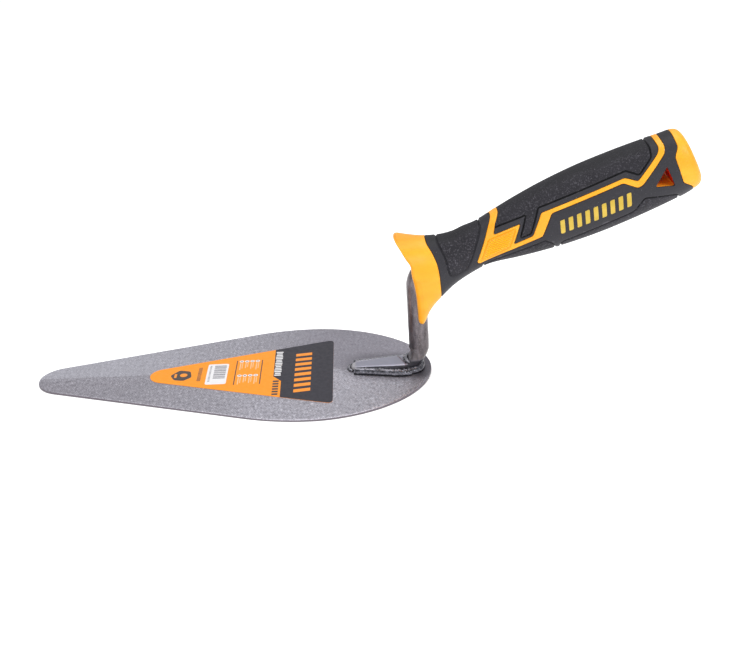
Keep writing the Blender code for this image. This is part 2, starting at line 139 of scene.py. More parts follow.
def split_at(bm, layer, level, reach=1.5 * MM, margin=0.03):
    """Cut the faces along the line where the field passes the level, but never right at a corner."""
    bm.verts.index_update()
    bm.edges.ensure_lookup_table()
    value = layer_values(bm, layer) - level
    ends = np.array([(e.verts[0].index, e.verts[1].index) for e in bm.edges])
    a, b = value[ends[:, 0]], value[ends[:, 1]]
    crossing = np.nonzero(((a > 0) != (b > 0)) & (np.abs(a) < reach) & (np.abs(b) < reach))[0]
    fresh = set()
    for edge, share in [(bm.edges[i], a[i] / (a[i] - b[i])) for i in crossing]:
        _, vert = bmesh.utils.edge_split(edge, edge.verts[0], min(max(share, margin), 1 - margin))
        vert[layer] = level
        fresh.add(vert)
    for face in {f for v in fresh for f in v.link_faces}:
        pair = [v for v in face.verts if v in fresh]
        if len(pair) == 2:
            bmesh.utils.face_split(face, pair[0], pair[1])


def keep_above(bm, layer, level):
    """Delete the faces that lie where the field is under the level."""
    outside = [f for f in bm.faces if sum(v[layer] for v in f.verts) < level * len(f.verts)]
    bmesh.ops.delete(bm, geom=outside, context="FACES")


def edge_drop(distance, radius):
    """How far a rounded edge of that radius lies under its face."""
    inward = np.clip(radius - distance, 0, radius)
    return radius - np.sqrt(radius ** 2 - inward ** 2)


def move_along_normals(bm, amount):
    bm.normal_update()
    for vert, value in zip(bm.verts, amount):
        vert.co += vert.normal * value


def extrude_to(bm, z):
    """Extrude every face and put the copy at that height."""
    for part in bmesh.ops.extrude_face_region(bm, geom=bm.faces[:])["geom"]:
        if isinstance(part, bmesh.types.BMVert):
            part.co.z = z


def link(name, mesh, mat, shell=0.0):
    """Put a piece in the scene; a shell thickness makes an open surface solid, inward."""
    obj = bpy.data.objects.new(name, mesh)
    bpy.context.scene.collection.objects.link(obj)
    mesh.materials.clear()
    mesh.materials.append(mat)
    mesh.shade_smooth()
    if shell:
        solidify = obj.modifiers.new("shell", "SOLIDIFY")
        solidify.thickness = shell
        solidify.offset = -1
    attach(obj, ROOT)
    return obj


def finished(name, bm, mat, shell=0.0, sharp=None, outward=False):
    """Turn a bmesh into a piece of the object."""
    if outward:
        bm.normal_update()
        bmesh.ops.recalc_face_normals(bm, faces=bm.faces)
    mesh = bpy.data.meshes.new(name)
    bm.to_mesh(mesh)
    bm.free()
    obj = link(name, mesh, mat, shell)
    if sharp:
        mesh.set_sharp_from_angle(angle=math.radians(sharp))
    return obj


def catmull_rom(rows, index, u):
    """Point between two rows of numbers, on a smooth curve through all of them."""
    last = len(rows) - 1
    a, b, c, d = (np.array(rows[min(max(index + k, 0), last)], float) for k in (-1, 0, 1, 2))
    return 0.5 * (2 * b + (c - a) * u + (2 * a - 5 * b + 4 * c - d) * u ** 2
                  + (3 * b - a - 3 * c + d) * u ** 3)


def superellipse(angle, exponent):
    """Width and height, from -1 to 1, of a rounded section at each angle."""
    return tuple(np.sign(v) * np.abs(v) ** (2 / exponent) for v in (np.cos(angle), np.sin(angle)))


def add_skin(bm, rings):
    """Closed skin over rings of equal length, capped at both ends."""
    loops = [[bm.verts.new(co) for co in ring] for ring in rings]
    for a, b in zip(loops, loops[1:]):
        for i in range(len(a)):
            j = (i + 1) % len(a)
            bm.faces.new((a[i], a[j], b[j], b[i]))
    bm.faces.new(loops[0])
    bm.faces.new(loops[-1])


def loft(rings):
    bm = bmesh.new()
    add_skin(bm, rings)
    return bm


# ---------------------------------------------------------------- materials

class Shader:
    """A material's node tree, with short calls for the nodes that the finishes here share."""

    def __init__(self, name):
        self.mat = bpy.data.materials.new(name)
        self.mat.use_nodes = True
        self.tree = self.mat.node_tree
        self.surface = self.tree.nodes["Principled BSDF"]
        self.place = self.add("ShaderNodeTexCoord").outputs["Object"]

    def add(self, kind, **inputs):
        node = self.tree.nodes.new(kind)
        for key, value in inputs.items():
            self.put(node.inputs[key.replace("_", " ")], value)
        return node

    def put(self, socket, value):
        if isinstance(value, bpy.types.NodeSocket):
            self.tree.links.new(value, socket)
        else:
            socket.default_value = value

    def set(self, **inputs):
        for key, value in inputs.items():
            self.put(self.surface.inputs[key.replace("_", " ")], value)

    def stretched(self, angle, scale):
        """Object coordinates turned about Z and stretched, for streaks."""
        turn = self.add("ShaderNodeMapping", Vector=self.place)
        turn.inputs["Rotation"].default_value = (0, 0, math.radians(angle))
        stretch = self.add("ShaderNodeMapping", Vector=turn.outputs[0])
        stretch.inputs["Scale"].default_value = scale
        return stretch.outputs[0]

    def noise(self, size, detail=3.0, roughness=0.5, at=None, seed=0.0):
        """Noise whose features are about that size, in metres."""
        node = self.tree.nodes.new("ShaderNodeTexNoise")
        node.noise_dimensions = "4D"
        self.put(node.inputs["Vector"], at or self.place)
        node.inputs["W"].default_value = seed
        node.inputs["Scale"].default_value = 1 / size
        node.inputs["Detail"].default_value = detail
        node.inputs["Roughness"].default_value = roughness
        return node.outputs["Fac"]

    def ramp(self, fac, stops):
        """A ramp through (position, colour or grey value) stops."""
        node = self.tree.nodes.new("ShaderNodeValToRGB")
        self.put(node.inputs["Fac"], fac)
        elements = node.color_ramp.elements
        while len(elements) < len(stops):
            elements.new(0.5)
        for element, (position, value) in zip(elements, stops):
            element.position = position
            colour = value if isinstance(value, tuple) else (value, value, value)
            element.color = (*colour, 1)
        return node.outputs["Color"]

    def span(self, value, low, high, out_low=0.0, out_high=1.0):
        """Map a range of a value smoothly onto another range."""
        node = self.tree.nodes.new("ShaderNodeMapRange")
        node.interpolation_type = "SMOOTHSTEP"
        for key, number in zip(("Value", "From Min", "From Max", "To Min", "To Max"),
                               (value, low, high, out_low, out_high)):
            self.put(node.inputs[key], number)
        return node.outputs["Result"]

    def maths(self, operation, a, b=0.0):
        node = self.tree.nodes.new("ShaderNodeMath")
        node.operation = operation
        self.put(node.inputs[0], a)
        self.put(node.inputs[1], b)
        return node.outputs[0]

    def times(self, a, b):
        return self.maths("MULTIPLY", a, b)

    def plus(self, a, b):
        return self.maths("ADD", a, b)

    def mix(self, fac, a, b, blend="MIX"):
        node = self.tree.nodes.new("ShaderNodeMix")
        node.data_type = "RGBA"
        node.blend_type = blend
        self.put(node.inputs["Factor"], fac)
        for socket, value in (("A_Color", a), ("B_Color", b)):
            target = next(s for s in node.inputs if s.identifier == socket)
            self.put(target, (*value, 1) if isinstance(value, tuple) else value)
        return next(s for s in node.outputs if s.identifier == "Result_Color")

    def axes(self):
        split = self.add("ShaderNodeSeparateXYZ", Vector=self.place)
        return split.outputs["X"], split.outputs["Y"], split.outputs["Z"]

    def attribute(self, name):
        node = self.tree.nodes.new("ShaderNodeAttribute")
        node.attribute_name = name
        return node.outputs["Fac"]

    def facing_up(self, low, high):
        """From 0 where the surface faces sideways to 1 where it faces up."""
        normal = self.tree.nodes.new("ShaderNodeNewGeometry").outputs["Normal"]
        return self.span(self.add("ShaderNodeSeparateXYZ", Vector=normal).outputs["Z"], low, high)

    def edge_highlight(self, low, high):
        """From 0 on flat faces to 1 on outward edges, where highlights are painted."""
        pointiness = self.tree.nodes.new("ShaderNodeNewGeometry").outputs["Pointiness"]
        return self.span(pointiness, low, high)

    def bump(self, height, distance, strength=1.0, under=None):
        node = self.add("ShaderNodeBump", Height=height)
        node.inputs["Strength"].default_value = strength
        node.inputs["Distance"].default_value = distance
        if under:
            self.put(node.inputs["Normal"], under)
        return node.outputs["Normal"]


def blade_steel():
    """Ground steel under thin oil: short crossed streaks, darker round the foot from soot, browner near the
    tip; painted shade beside the neck, along the ridge, on the edges and on the near half towards the tip,
    and painted light on the far half there.
    """
    s = Shader("blade_steel")
    x, y, _ = s.axes()
    fine = s.noise(1.0, 4, 0.6, s.stretched(62, (420, 2600, 1)))
    cross = s.noise(1.0, 4, 0.6, s.stretched(118, (420, 2600, 1)), 3)
    streaks = s.mix(0.5, fine, cross)
    cloud = s.noise(22 * MM, 3, 0.5)
    mottle = s.noise(2.2 * MM, 4, 0.6, seed=5)

    steel = s.ramp(streaks, [(0.38, (0.20, 0.19, 0.22)), (0.52, (0.50, 0.485, 0.54)),
                             (0.66, (0.90, 0.89, 0.96))])
    steel = s.mix(s.span(mottle, 0.45, 0.75, 0, 0.22), steel, (0.36, 0.33, 0.36))
    # painted shade on the near half towards the tip, over a slight brown tint, and painted light on the far
    # half there
    near_tip_tint_and_shade = s.times(s.span(y, 0.002, -0.004), s.span(x, -0.05, -0.16))
    steel = s.mix(s.times(near_tip_tint_and_shade, 0.30), steel, (0.38, 0.335, 0.345), "MULTIPLY")
    far_tip_light = s.times(s.span(y, -0.001, 0.003), s.span(x, -0.07, -0.15))
    steel = s.mix(s.times(far_tip_light, 0.35), steel, (0.66, 0.66, 0.72))
    far_heel = s.times(s.span(y, -0.001, 0.002), s.span(x, -0.085, -0.035))
    steel = s.mix(s.times(far_heel, 0.52), steel, (0.26, 0.24, 0.285))

    # soot and lacquer round the weld, in an uneven ring
    reach_x = s.maths("DIVIDE", s.plus(x, 0.013), 0.021)
    reach_y = s.maths("DIVIDE", s.maths("SUBTRACT", y, 0.002), 0.0125)
    reach = s.maths("SQRT", s.plus(s.times(reach_x, reach_x), s.times(reach_y, reach_y)))
    reach = s.plus(reach, s.times(s.maths("SUBTRACT", cloud, 0.5), 0.9))
    soot = s.span(reach, 1.45, 0.75, 0, 0.62)
    steel = s.mix(soot, steel, (0.15, 0.14, 0.165))
    from_middle = s.maths("ABSOLUTE", y)
    # painted shade on the blade in the dark hollow beside the neck
    shade_beside_neck = s.times(s.span(x, -0.007, -0.001), s.span(from_middle, 0.016, 0.008))
    steel = s.mix(s.times(shade_beside_neck, s.span(cloud, 0.3, 0.6, 0.45, 0.75)), steel, (0.10, 0.093, 0.11))
    # painted shade: a thin dark line along the ridge where the two ground halves meet
    ridge = s.span(from_middle, 0.0006, 0.0001, 0, 0.35)
    steel = s.mix(ridge, steel, (0.20, 0.18, 0.20))
    # painted shade on the rounded edges and the underside, which face away from up
    steel = s.mix(s.facing_up(0.85, 0.35), steel, (0.16, 0.14, 0.16))

    rough = s.span(streaks, 0.3, 0.7, 0.36, 0.50)
    rough = s.plus(rough, s.span(cloud, 0.35, 0.7, -0.03, 0.05))
    s.set(Base_Color=steel, Roughness=rough, Metallic=0.9)
    wave = s.bump(cloud, 0.05 * MM, 0.6)
    s.set(Normal=s.bump(streaks, 0.035 * MM, 0.8, wave))
    return s.mat


def forged_steel():
    """Hot-forged bar under clear lacquer: brownish scale, fine pits, a bright ground nose with a painted
    highlight, and painted light on the foot's top with painted shade on its flanks.
    """
    s = Shader("forged_steel")
    scale = s.noise(1.0, 5, 0.6, s.stretched(0, (520, 520, 130)))
    pits = s.noise(0.55 * MM, 4, 0.6, seed=2)
    x, y, z = s.axes()
    metal = s.ramp(scale, [(0.34, (0.060, 0.049, 0.052)), (0.52, (0.140, 0.120, 0.129)),
                           (0.70, (0.26, 0.225, 0.24))])
    metal = s.mix(s.span(pits, 0.50, 0.72, 0, 0.45), metal, (0.32, 0.29, 0.31))
    metal = s.mix(s.span(pits, 0.44, 0.30, 0, 0.5), metal, (0.06, 0.05, 0.055))
    metal = s.mix(s.span(z, 0.026, 0.010, 0, 0.40), metal, (0.060, 0.052, 0.056))
    # on the foot: painted light on its top, a slanted brown line of heat across it, and painted shade on
    # its flanks
    metal = s.mix(s.span(z, 0.0075, 0.0045, 0, 0.75), metal, (0.40, 0.40, 0.49))
    tint_line = s.plus(s.plus(x, 0.0085), s.times(y, 0.35))
    tint = s.times(s.span(s.maths("ABSOLUTE", tint_line), 0.0008, 0.0001), s.span(z, 0.009, 0.005))
    metal = s.mix(s.times(tint, s.span(pits, 0.4, 0.55, 0.1, 0.7)), metal, (0.10, 0.035, 0.035))
    flank = s.times(s.facing_up(0.93, 0.6), s.span(z, 0.0072, 0.0060))
    metal = s.mix(s.times(flank, 0.95), metal, (0.022, 0.020, 0.025))
    # the foot's ground nose, made brighter still by a painted highlight on its rounded edge
    metal = s.mix(s.span(x, -0.0288, -0.0302, 0, 0.7), metal, (0.56, 0.54, 0.56))
    s.set(Base_Color=metal, Roughness=s.span(scale, 0.3, 0.7, 0.30, 0.46), Metallic=0.7)
    s.set(Coat_Weight=s.span(flank, 0, 1, 0.35, 0.0))
    s.set(Coat_Roughness=0.18)
    dents = s.bump(scale, 0.16 * MM, 0.55)
    s.set(Normal=s.bump(pits, 0.06 * MM, 0.7, dents))
    return s.mat


def weld_metal():
    """Glossy dark weld bead with blue temper colours and small bright spatter, painted highlights on its
    crest and steep sides, and painted shade where it turns under.
    """
    s = Shader("weld_metal")
    scale = s.noise(1.6 * MM, 4, 0.6, seed=4)
    grit = s.noise(0.35 * MM, 3, 0.6, seed=6)
    metal = s.ramp(scale, [(0.34, (0.02, 0.02, 0.026)), (0.52, (0.06, 0.06, 0.075)),
                           (0.70, (0.16, 0.16, 0.19))])
    # painted highlight on the bead's crest
    crest_highlight = s.times(s.facing_up(0.74, 0.97), s.span(scale, 0.35, 0.6, 0.35, 0.75))
    metal = s.mix(crest_highlight, metal, (0.36, 0.35, 0.40))
    # painted highlight in a band on the bead's steep sides
    rim = s.times(s.facing_up(0.12, 0.28), s.facing_up(0.48, 0.32))
    metal = s.mix(s.times(rim, 0.5), metal, (0.20, 0.19, 0.22))
    # painted shade where the bead turns under towards the blade
    metal = s.mix(s.facing_up(0.15, 0.0), metal, (0.015, 0.015, 0.02))
    metal = s.mix(s.span(grit, 0.66, 0.78, 0, 0.5), metal, (0.60, 0.58, 0.62))
    s.set(Base_Color=metal, Roughness=s.span(grit, 0.3, 0.7, 0.14, 0.34), Metallic=0.8)
    s.set(Coat_Weight=0.5)
    s.set(Coat_Roughness=0.08)
    lumps = s.bump(scale, 0.30 * MM, 0.7)
    s.set(Normal=s.bump(grit, 0.10 * MM, 0.7, lumps))
    return s.mat


def hard_plastic(name, deep, mid, light, roughness=0.40, gloss=0.42):
    """Injection-moulded plastic: slight flow marks, fine spark texture, painted highlights on its rounded
    edges and painted shade in the hatched patch.
    """
    s = Shader(name)
    patch = s.attribute("patch")
    flow = s.noise(14 * MM, 2, 0.5, s.stretched(0, (1, 1, 2.2)))
    grain = s.noise(0.22 * MM, 3, 0.6, seed=1)
    scuffs = s.noise(1.0, 4, 0.65, s.stretched(28, (90, 900, 300)), 8)
    tone = s.ramp(flow, [(0.30, deep), (0.52, mid), (0.74, light)])
    tone = s.mix(s.span(grain, 0.5, 0.8, 0, 0.12), tone, light)
    tone = s.mix(s.span(scuffs, 0.64, 0.74, 0, 0.14), tone, (0.95, 0.72, 0.33))
    # painted highlight on the rounded edges
    tone = s.mix(s.times(s.edge_highlight(0.52, 0.60), 0.25), tone, (1.0, 0.60, 0.18))
    # painted shade: the hatched patch inside its frame turns deeper orange, as the shade between its ribs
    tone = s.mix(patch, tone, (0.90, 0.335, 0.001))
    rough = s.span(grain, 0.3, 0.7, roughness - 0.05, roughness + 0.07)
    s.set(Base_Color=tone, Roughness=s.plus(rough, s.span(scuffs, 0.6, 0.75, 0, 0.12)))
    s.set(Specular_IOR_Level=gloss)
    s.set(Subsurface_Weight=0.06)
    s.set(Subsurface_Scale=0.002)
    s.set(Normal=s.bump(grain, 0.012 * MM, 0.5))
    return s.mat


def shaded_sleeve_plastic():
    """The same yellow plastic deep in the hole, painted red-brown as the shade it lies in, with painted
    light on the wall that faces up.
    """
    s = Shader("shaded_sleeve_plastic")
    flow = s.noise(3 * MM, 3, 0.5)
    grain = s.noise(0.3 * MM, 2, 0.5, seed=3)
    # painted shade: the yellow plastic turned red-brown
    tone = s.ramp(flow, [(0.3, (0.58, 0.015, 0.0004)), (0.55, (0.70, 0.021, 0.0005)),
                         (0.75, (0.82, 0.033, 0.001))])
    # painted light on the wall that faces up
    lit = s.times(s.facing_up(0.35, 0.85), s.span(flow, 0.25, 0.6, 0.8, 1.0))
    tone = s.mix(lit, tone, (1.0, 0.42, 0.02))
    s.set(Base_Color=tone, Roughness=s.span(grain, 0.3, 0.7, 0.36, 0.50))
    s.set(Specular_IOR_Level=0.08)
    s.set(Normal=s.bump(grain, 0.02 * MM, 0.5))
    return s.mat


def soft_rubber():
    """Soft overmoulded rubber: pebbled in the panels, nearly smooth on the rims, with dust specks; painted
    shade in its grooves and on faces that look up, and painted highlights on its edges.
    """
    s = Shader("soft_grip")
    grain = s.attribute("grain")
    pebble = s.noise(0.6 * MM, 3, 0.65, seed=2)
    cells = s.tree.nodes.new("ShaderNodeTexVoronoi")
    s.put(cells.inputs["Vector"], s.place)
    cells.inputs["Scale"].default_value = 1 / (0.75 * MM)
    cloud = s.noise(11 * MM, 3, 0.5)
    dust = s.noise(0.5 * MM, 2, 0.5, seed=9)
    tone = s.ramp(cloud, [(0.32, (0.013, 0.012, 0.016)), (0.55, (0.018, 0.017, 0.022)),
                          (0.75, (0.024, 0.022, 0.029))])
    tone = s.mix(s.span(grain, 0, 1, 0.6, 0), tone, (0.034, 0.033, 0.039))
    light = s.times(s.span(pebble, 0.50, 0.70), s.span(grain, 0, 1, 0.15, 0.75))
    tone = s.mix(light, tone, (0.105, 0.099, 0.115))
    # painted shade in the deep part of the grooves
    tone = s.mix(s.span(grain, -0.1, -0.9), tone, (0.004, 0.004, 0.005))
    tone = s.mix(s.span(dust, 0.70, 0.76, 0, 0.55), tone, (0.30, 0.29, 0.31))
    # painted highlight on the rounded edges
    tone = s.mix(s.times(s.edge_highlight(0.51, 0.58), 0.45), tone, (0.10, 0.095, 0.11))
    # painted shade on the faces that look up
    tone = s.mix(s.times(s.facing_up(0.70, 0.96), 0.65), tone, (0.009, 0.009, 0.011))
    rough = s.span(pebble, 0.3, 0.7, 0.50, 0.66)
    s.set(Base_Color=tone, Roughness=s.plus(rough, s.span(grain, 0, 1, -0.07, 0.03)))
    s.set(Specular_IOR_Level=0.24)
    height = s.plus(pebble, s.times(cells.outputs["Distance"], 0.6))
    height = s.times(height, s.span(grain, 0, 1, 0.22, 1.0))
    s.set(Normal=s.bump(height, 0.18 * MM, 0.8))
    return s.mat


def printed_film(name, colour, dark):
    """Printed plastic film: even ink with faint mottling, tiny scratches and a clear glossy face."""
    s = Shader(name)
    ink = s.noise(1.8 * MM, 4, 0.6, seed=3)
    dots = s.noise(0.18 * MM, 2, 0.5, seed=5)
    scratches = s.noise(1.0, 4, 0.6, s.stretched(75, (60, 1500, 1)), 6)
    tone = s.mix(s.span(ink, 0.35, 0.75, 0, 0.35), colour, dark)
    tone = s.mix(s.span(dots, 0.55, 0.75, 0, 0.12), tone, dark)
    lifted = tuple(min(1.0, value + 0.12) for value in colour)
    tone = s.mix(s.span(scratches, 0.66, 0.74, 0, 0.25), tone, lifted)
    s.set(Base_Color=tone, Roughness=s.span(ink, 0.3, 0.7, 0.36, 0.50))
    s.set(Specular_IOR_Level=0.3)
    s.set(Normal=s.bump(ink, 0.02 * MM, 0.4))
    return s.mat


def floor_finish():
    """Matt white that glows a little, so that the floor stays as pale as a studio's."""
    s = Shader("pale_floor")
    grain = s.noise(6 * MM, 3, 0.5)
    s.set(Base_Color=s.ramp(grain, [(0.3, 0.93), (0.7, 0.95)]), Roughness=0.9)
    s.set(Emission_Color=(1, 1, 1, 1))
    s.set(Emission_Strength=0.4)
    return s.mat


# ---------------------------------------------------------------- handle: envelope

# Guard and collar: bottom, knee and top of the middle line in X and Z, half width, how far the lower half
# narrows, and the exponent of the lower half
GUARD_SECTIONS = (
    ((-0.7, 23.3), (-1.2, 57.0), (-11.6, 64.8), 14.2, 0.50, 5.0),
    ((1.7, 23.9), (2.0, 52.5), (-5.0, 64.1), 13.8, 0.48, 4.6),
    ((5.0, 30.8), (5.8, 49.0), (1.5, 63.7), 12.6, 0.40, 3.8),
    ((9.6, 36.6), (10.2, 49.5), (8.0, 64.1), 11.2, 0.26, 3.2),
    ((16.4, 43.0), (16.2, 54.0), (14.5, 65.5), 10.1, 0.12, 2.6),
)
# Grip: distance along the axis, half height, half width
GRIP_SECTIONS = (
    (26.0, 9.9, 9.4), (33.0, 10.0, 9.2), (43.0, 11.8, 10.3), (53.0, 13.3, 11.4), (65.0, 14.6, 12.5),
    (80.0, 15.4, 13.2), (95.0, 15.3, 13.1), (108.0, 14.8, 12.5), (118.0, 14.1, 11.8),
)
# Rounded end: along and above the axis for the top, the same for the bottom, half width
END_SECTIONS = (
    ((122.0, 13.9), (122.4, -13.3), 11.4),
    ((124.8, 12.6), (125.6, -12.3), 10.4),
    ((126.2, 9.2), (127.2, -10.0), 8.0),
    ((126.9, 3.0), (127.5, -6.0), 3.6),
)
UPPER_EXPONENT = 2.3
CELL = 0.5 * MM                   # size of the envelope's faces
HALF_RING = 88                    # faces round one side of the handle
ACROSS_FRONT = 44                 # faces across the guard's front
ACROSS_END = 12                   # and across the handle's end
SECTION_SAMPLES = 361             # points of a section before they are spaced evenly
FRONT_RADIUS = 1.8 * MM           # rounding of the guard's front edge
FRONT_STEPS = 7
KNEE_PINCH = 0.9 * MM             # the front edge bends more sharply at its knee than the CAD's
KNEE_Z = 55 * MM
KNEE_SPREAD = 2.6 * MM


def control_sections():
    rows = []
    for low, knee, high, half_width, taper, exponent in GUARD_SECTIONS:
        rows.append([v * MM for v in (*low, *knee, *high, half_width)] + [taper, exponent])
    sections = [((s, h), (s, -h), w) for s, h, w in GRIP_SECTIONS] + list(END_SECTIONS)
    for top, bottom, half_width in sections:
        high, low = (GRIP_ORIGIN + (GRIP_ALONG * s + GRIP_ABOVE * t) * MM for s, t in (top, bottom))
        knee = (high + low) / 2
        middle_line = [low[0], low[2], knee[0], knee[2], high[0], high[2]]
        rows.append([*middle_line, half_width * MM, 0.0, UPPER_EXPONENT])
    return rows


def section_ring(section, inset=0.0):
    """Evenly spaced points of one section, up the left side and down the right side."""
    low, knee, high = (np.array(section[k:k + 2]) for k in (0, 2, 4))
    half_width, taper, lower_exponent = section[6] - inset, section[7], section[8]
    margin = inset / np.linalg.norm(high - low)
    angle = np.linspace(-math.pi / 2, math.pi / 2, SECTION_SAMPLES)
    side, rise = superellipse(angle, np.where(angle >= 0, UPPER_EXPONENT, lower_exponent))
    side = half_width * side * (1 + taper * np.minimum(rise, 0))
    u = (margin + (1 - 2 * margin) * (rise + 1) / 2)[:, None]
    middle = low * (1 - u) ** 2 + knee * 2 * u * (1 - u) + high * u ** 2
    line = np.stack([middle[:, 0], side, middle[:, 1]], 1)
    line[[0, -1], 1] = 0
    length = np.r_[0, np.cumsum(np.linalg.norm(np.diff(line, axis=0), axis=1))]
    even = np.linspace(0, length[-1], HALF_RING + 1)
    half = np.stack([np.interp(even, length, line[:, k]) for k in range(3)], 1)
    return np.vstack([half, half[-2:0:-1] * (1, -1, 1)])


def envelope_rings():
    """Rings from the guard's rounded front edge to the end of the handle."""
    controls = control_sections()
    first, second = section_ring(controls[0]), section_ring(controls[1])
    backward = second - first
    backward /= np.linalg.norm(backward, axis=1)[:, None]
    rings = []
    for k in range(FRONT_STEPS + 1):
        angle = math.pi / 2 * k / FRONT_STEPS
        inset = FRONT_RADIUS * (1 - math.sin(angle))
        ring = section_ring(controls[0], inset) + backward * FRONT_RADIUS * (1 - math.cos(angle))
        ring[:, 0] += KNEE_PINCH * np.exp(-((ring[:, 2] - KNEE_Z) / KNEE_SPREAD) ** 2)
        rings.append(ring)
    shoulder = rings[-1]
    steps = math.ceil(np.linalg.norm(second - shoulder, axis=1).max() / CELL)
    rings += [shoulder + (second - shoulder) * k / steps for k in range(1, steps)]
    for index in range(1, len(controls) - 1):
        here, there = np.array(controls[index]), np.array(controls[index + 1])
        reach = max(np.linalg.norm((there - here)[k:k + 2]) for k in (0, 4))
        steps = max(4, math.ceil(reach / CELL))
        rings += [section_ring(catmull_rom(controls, index, k / steps)) for k in range(steps)]
    rings.append(section_ring(controls[-1]))
    return rings


def fill_ring(points, faces, ring, columns, backwards):
    """Close a ring with rows of faces from its left side to its right side."""
    count = len(ring)
    half = count // 2
    rows = [[ring[0]] * (columns + 1)]
    for k in range(1, half):
        left, right = np.array(points[ring[k]]), np.array(points[ring[count - k]])
        row = [ring[k]]
        for j in range(1, columns):
            row.append(len(points))
            points.append(left + (right - left) * j / columns)
        rows.append(row + [ring[count - k]])
    rows.append([ring[half]] * (columns + 1))
    for a, b in zip(rows, rows[1:]):
        for j in range(columns):
            face = list(dict.fromkeys((a[j], a[j + 1], b[j + 1], b[j])))
            faces.append(face if backwards else face[::-1])


def handle_envelope():
    """The whole outer surface of the handle, as one closed mesh that is never shown itself."""
    rings = envelope_rings()
    count = 2 * HALF_RING
    points = [co for ring in rings for co in ring]
    faces = []
    for r in range(len(rings) - 1):
        for i in range(count):
            j = (i + 1) % count
            a, b = r * count, (r + 1) * count
            faces.append([a + i, a + j, b + j, b + i])
    fill_ring(points, faces, list(range(count)), ACROSS_FRONT, False)
    last = (len(rings) - 1) * count
    fill_ring(points, faces, list(range(last, last + count)), ACROSS_END, True)
    mesh = bpy.data.meshes.new("handle_envelope")
    mesh.from_pydata([tuple(p) for p in points], [], faces)
    bm = bmesh.new()
    bm.from_mesh(mesh)
    bmesh.ops.recalc_face_normals(bm, faces=bm.faces)
    bm.to_mesh(mesh)
    tree = BVHTree.FromBMesh(bm)
    bm.free()
    return mesh, tree


def on_side(tree, x, z, side):
    """Point and outward normal where a line across the handle meets its side."""
    hit, normal, _, _ = tree.ray_cast(Vector((x, side * 0.05, z)), Vector((0, -side, 0)))
    return hit, normal


def grip_xz(s, t):
    point = GRIP_ORIGIN + (GRIP_ALONG * s + GRIP_ABOVE * t) * MM
    return point[0], point[2]


# ---------------------------------------------------------------- handle: zones

OVER_TOP = 18.0                   # an outline that ends here passes over the handle's top
UNDER = -18.0
SEAM = 0.04 * MM                  # half the gap between yellow and black
EDGE_LEVELS = (0.0, 0.05 * MM, 0.13 * MM, 0.24 * MM, 0.38 * MM)
EDGE_RADIUS = 0.38 * MM
STRIPE_OUTER = (
    (39.2, OVER_TOP), (39.2, 11.2), (36.2, 8.0), (32.7, 3.4), (26.4, -4.6), (27.0, -5.9), (40.8, -5.0),
    (56.3, -4.0), (63.4, 4.5), (95.2, 4.9), (100.2, 0.5), (102.4, 0.7), (115.4, 9.2), (116.6, 11.5),
    (116.0, OVER_TOP),
)
STRIPE_INNER = (
    (42.9, OVER_TOP), (42.9, 11.7), (39.6, 8.2), (37.4, 4.5), (49.6, 5.0), (43.8, -2.7), (52.6, -2.1),
    (59.4, 6.3), (96.6, 6.8), (101.2, 3.3), (112.9, 10.3), (114.1, 12.0), (113.4, OVER_TOP),
)
CAP_ZONE = (
    (121.6, OVER_TOP), (121.3, 9.5), (118.7, 6.2), (118.6, -5.8), (121.8, -9.6), (123.8, UNDER),
    (134.0, UNDER), (134.0, OVER_TOP),
)
# The guard's zone and the hang hole are given in world X and Z
GUARD_ZONE = (
    (1.6, 72.0), (2.6, 63.4), (5.2, 60.2), (7.4, 55.4), (8.5, 50.0), (9.6, 38.8), (10.2, 14.0),
    (-24.0, 14.0), (-24.0, 72.0),
)
HANG_HOLE = ((98.4, 86.4), (107.6, 86.4), (103.1, 95.8))
CORNER = 0.8 * MM
GUARD_CORNER = 2 * MM
HOLE_CORNER = 1.2 * MM
HOLE_OVERLAP = 0.30 * MM          # the rubber's window is this much narrower than the hole behind it

# Pebbled panels of the soft grip, each sunk behind a groove
COLLAR_PANEL = (
    (14.1, OVER_TOP), (14.1, 9.9), (14.8, 3.5), (14.0, -2.2), (13.7, -4.9), (15.1, -6.3), (21.3, -5.7),
    (24.9, -1.8), (29.4, 4.0), (33.1, 8.8), (35.2, OVER_TOP),
)
BELLY_FRONT = (
    (26.5, UNDER), (28.5, -7.9), (33.0, -7.3), (46.4, -7.0), (56.8, -6.7), (59.3, -9.6), (59.8, UNDER),
)
BELLY_REAR = (
    (61.8, UNDER), (62.4, -11.4), (64.0, -10.5), (93.0, -9.8), (95.8, -9.5), (101.5, -5.4), (114.9, -10.6),
    (116.2, UNDER),
)
PAD_PANEL = (
    (38.0, OVER_TOP), (38.6, 7.2), (41.4, 7.4), (53.3, 7.7), (47.5, -1.0), (52.2, -0.7), (58.9, 8.7),
    (98.0, 9.3), (102.6, 5.6), (109.6, 10.0), (110.6, 13.0), (110.2, OVER_TOP),
)
GROOVE_DEPTH = 0.72 * MM
GROOVE_INNER = 0.46 * MM          # width of the groove's wall on the panel's side
GROOVE_OUTER = 0.85 * MM          # and of its rounded wall on the rim's side
PANEL_SINK = 0.10 * MM
GROOVE_LEVELS = (0.0, 0.12, 0.28, 0.46, -0.15, -0.35, -0.60, -0.85)
# painted shade: a groove is painted dark from this share of its depth
GROOVE_SHADE_SHARE = 0.55                # the share of its depth from which a groove is dark
RUBBER_SHELL = 1.5 * MM
ZONE_MARGIN = 2 * MM              # what is kept round a zone until its edge has been cut


def inside_on_grip(co, outline, rounding=CORNER):
    """Distance of each point inside an outline that is drawn on the handle's side."""
    return inside_distance(grip_plane(co), in_metres(outline, rounding))


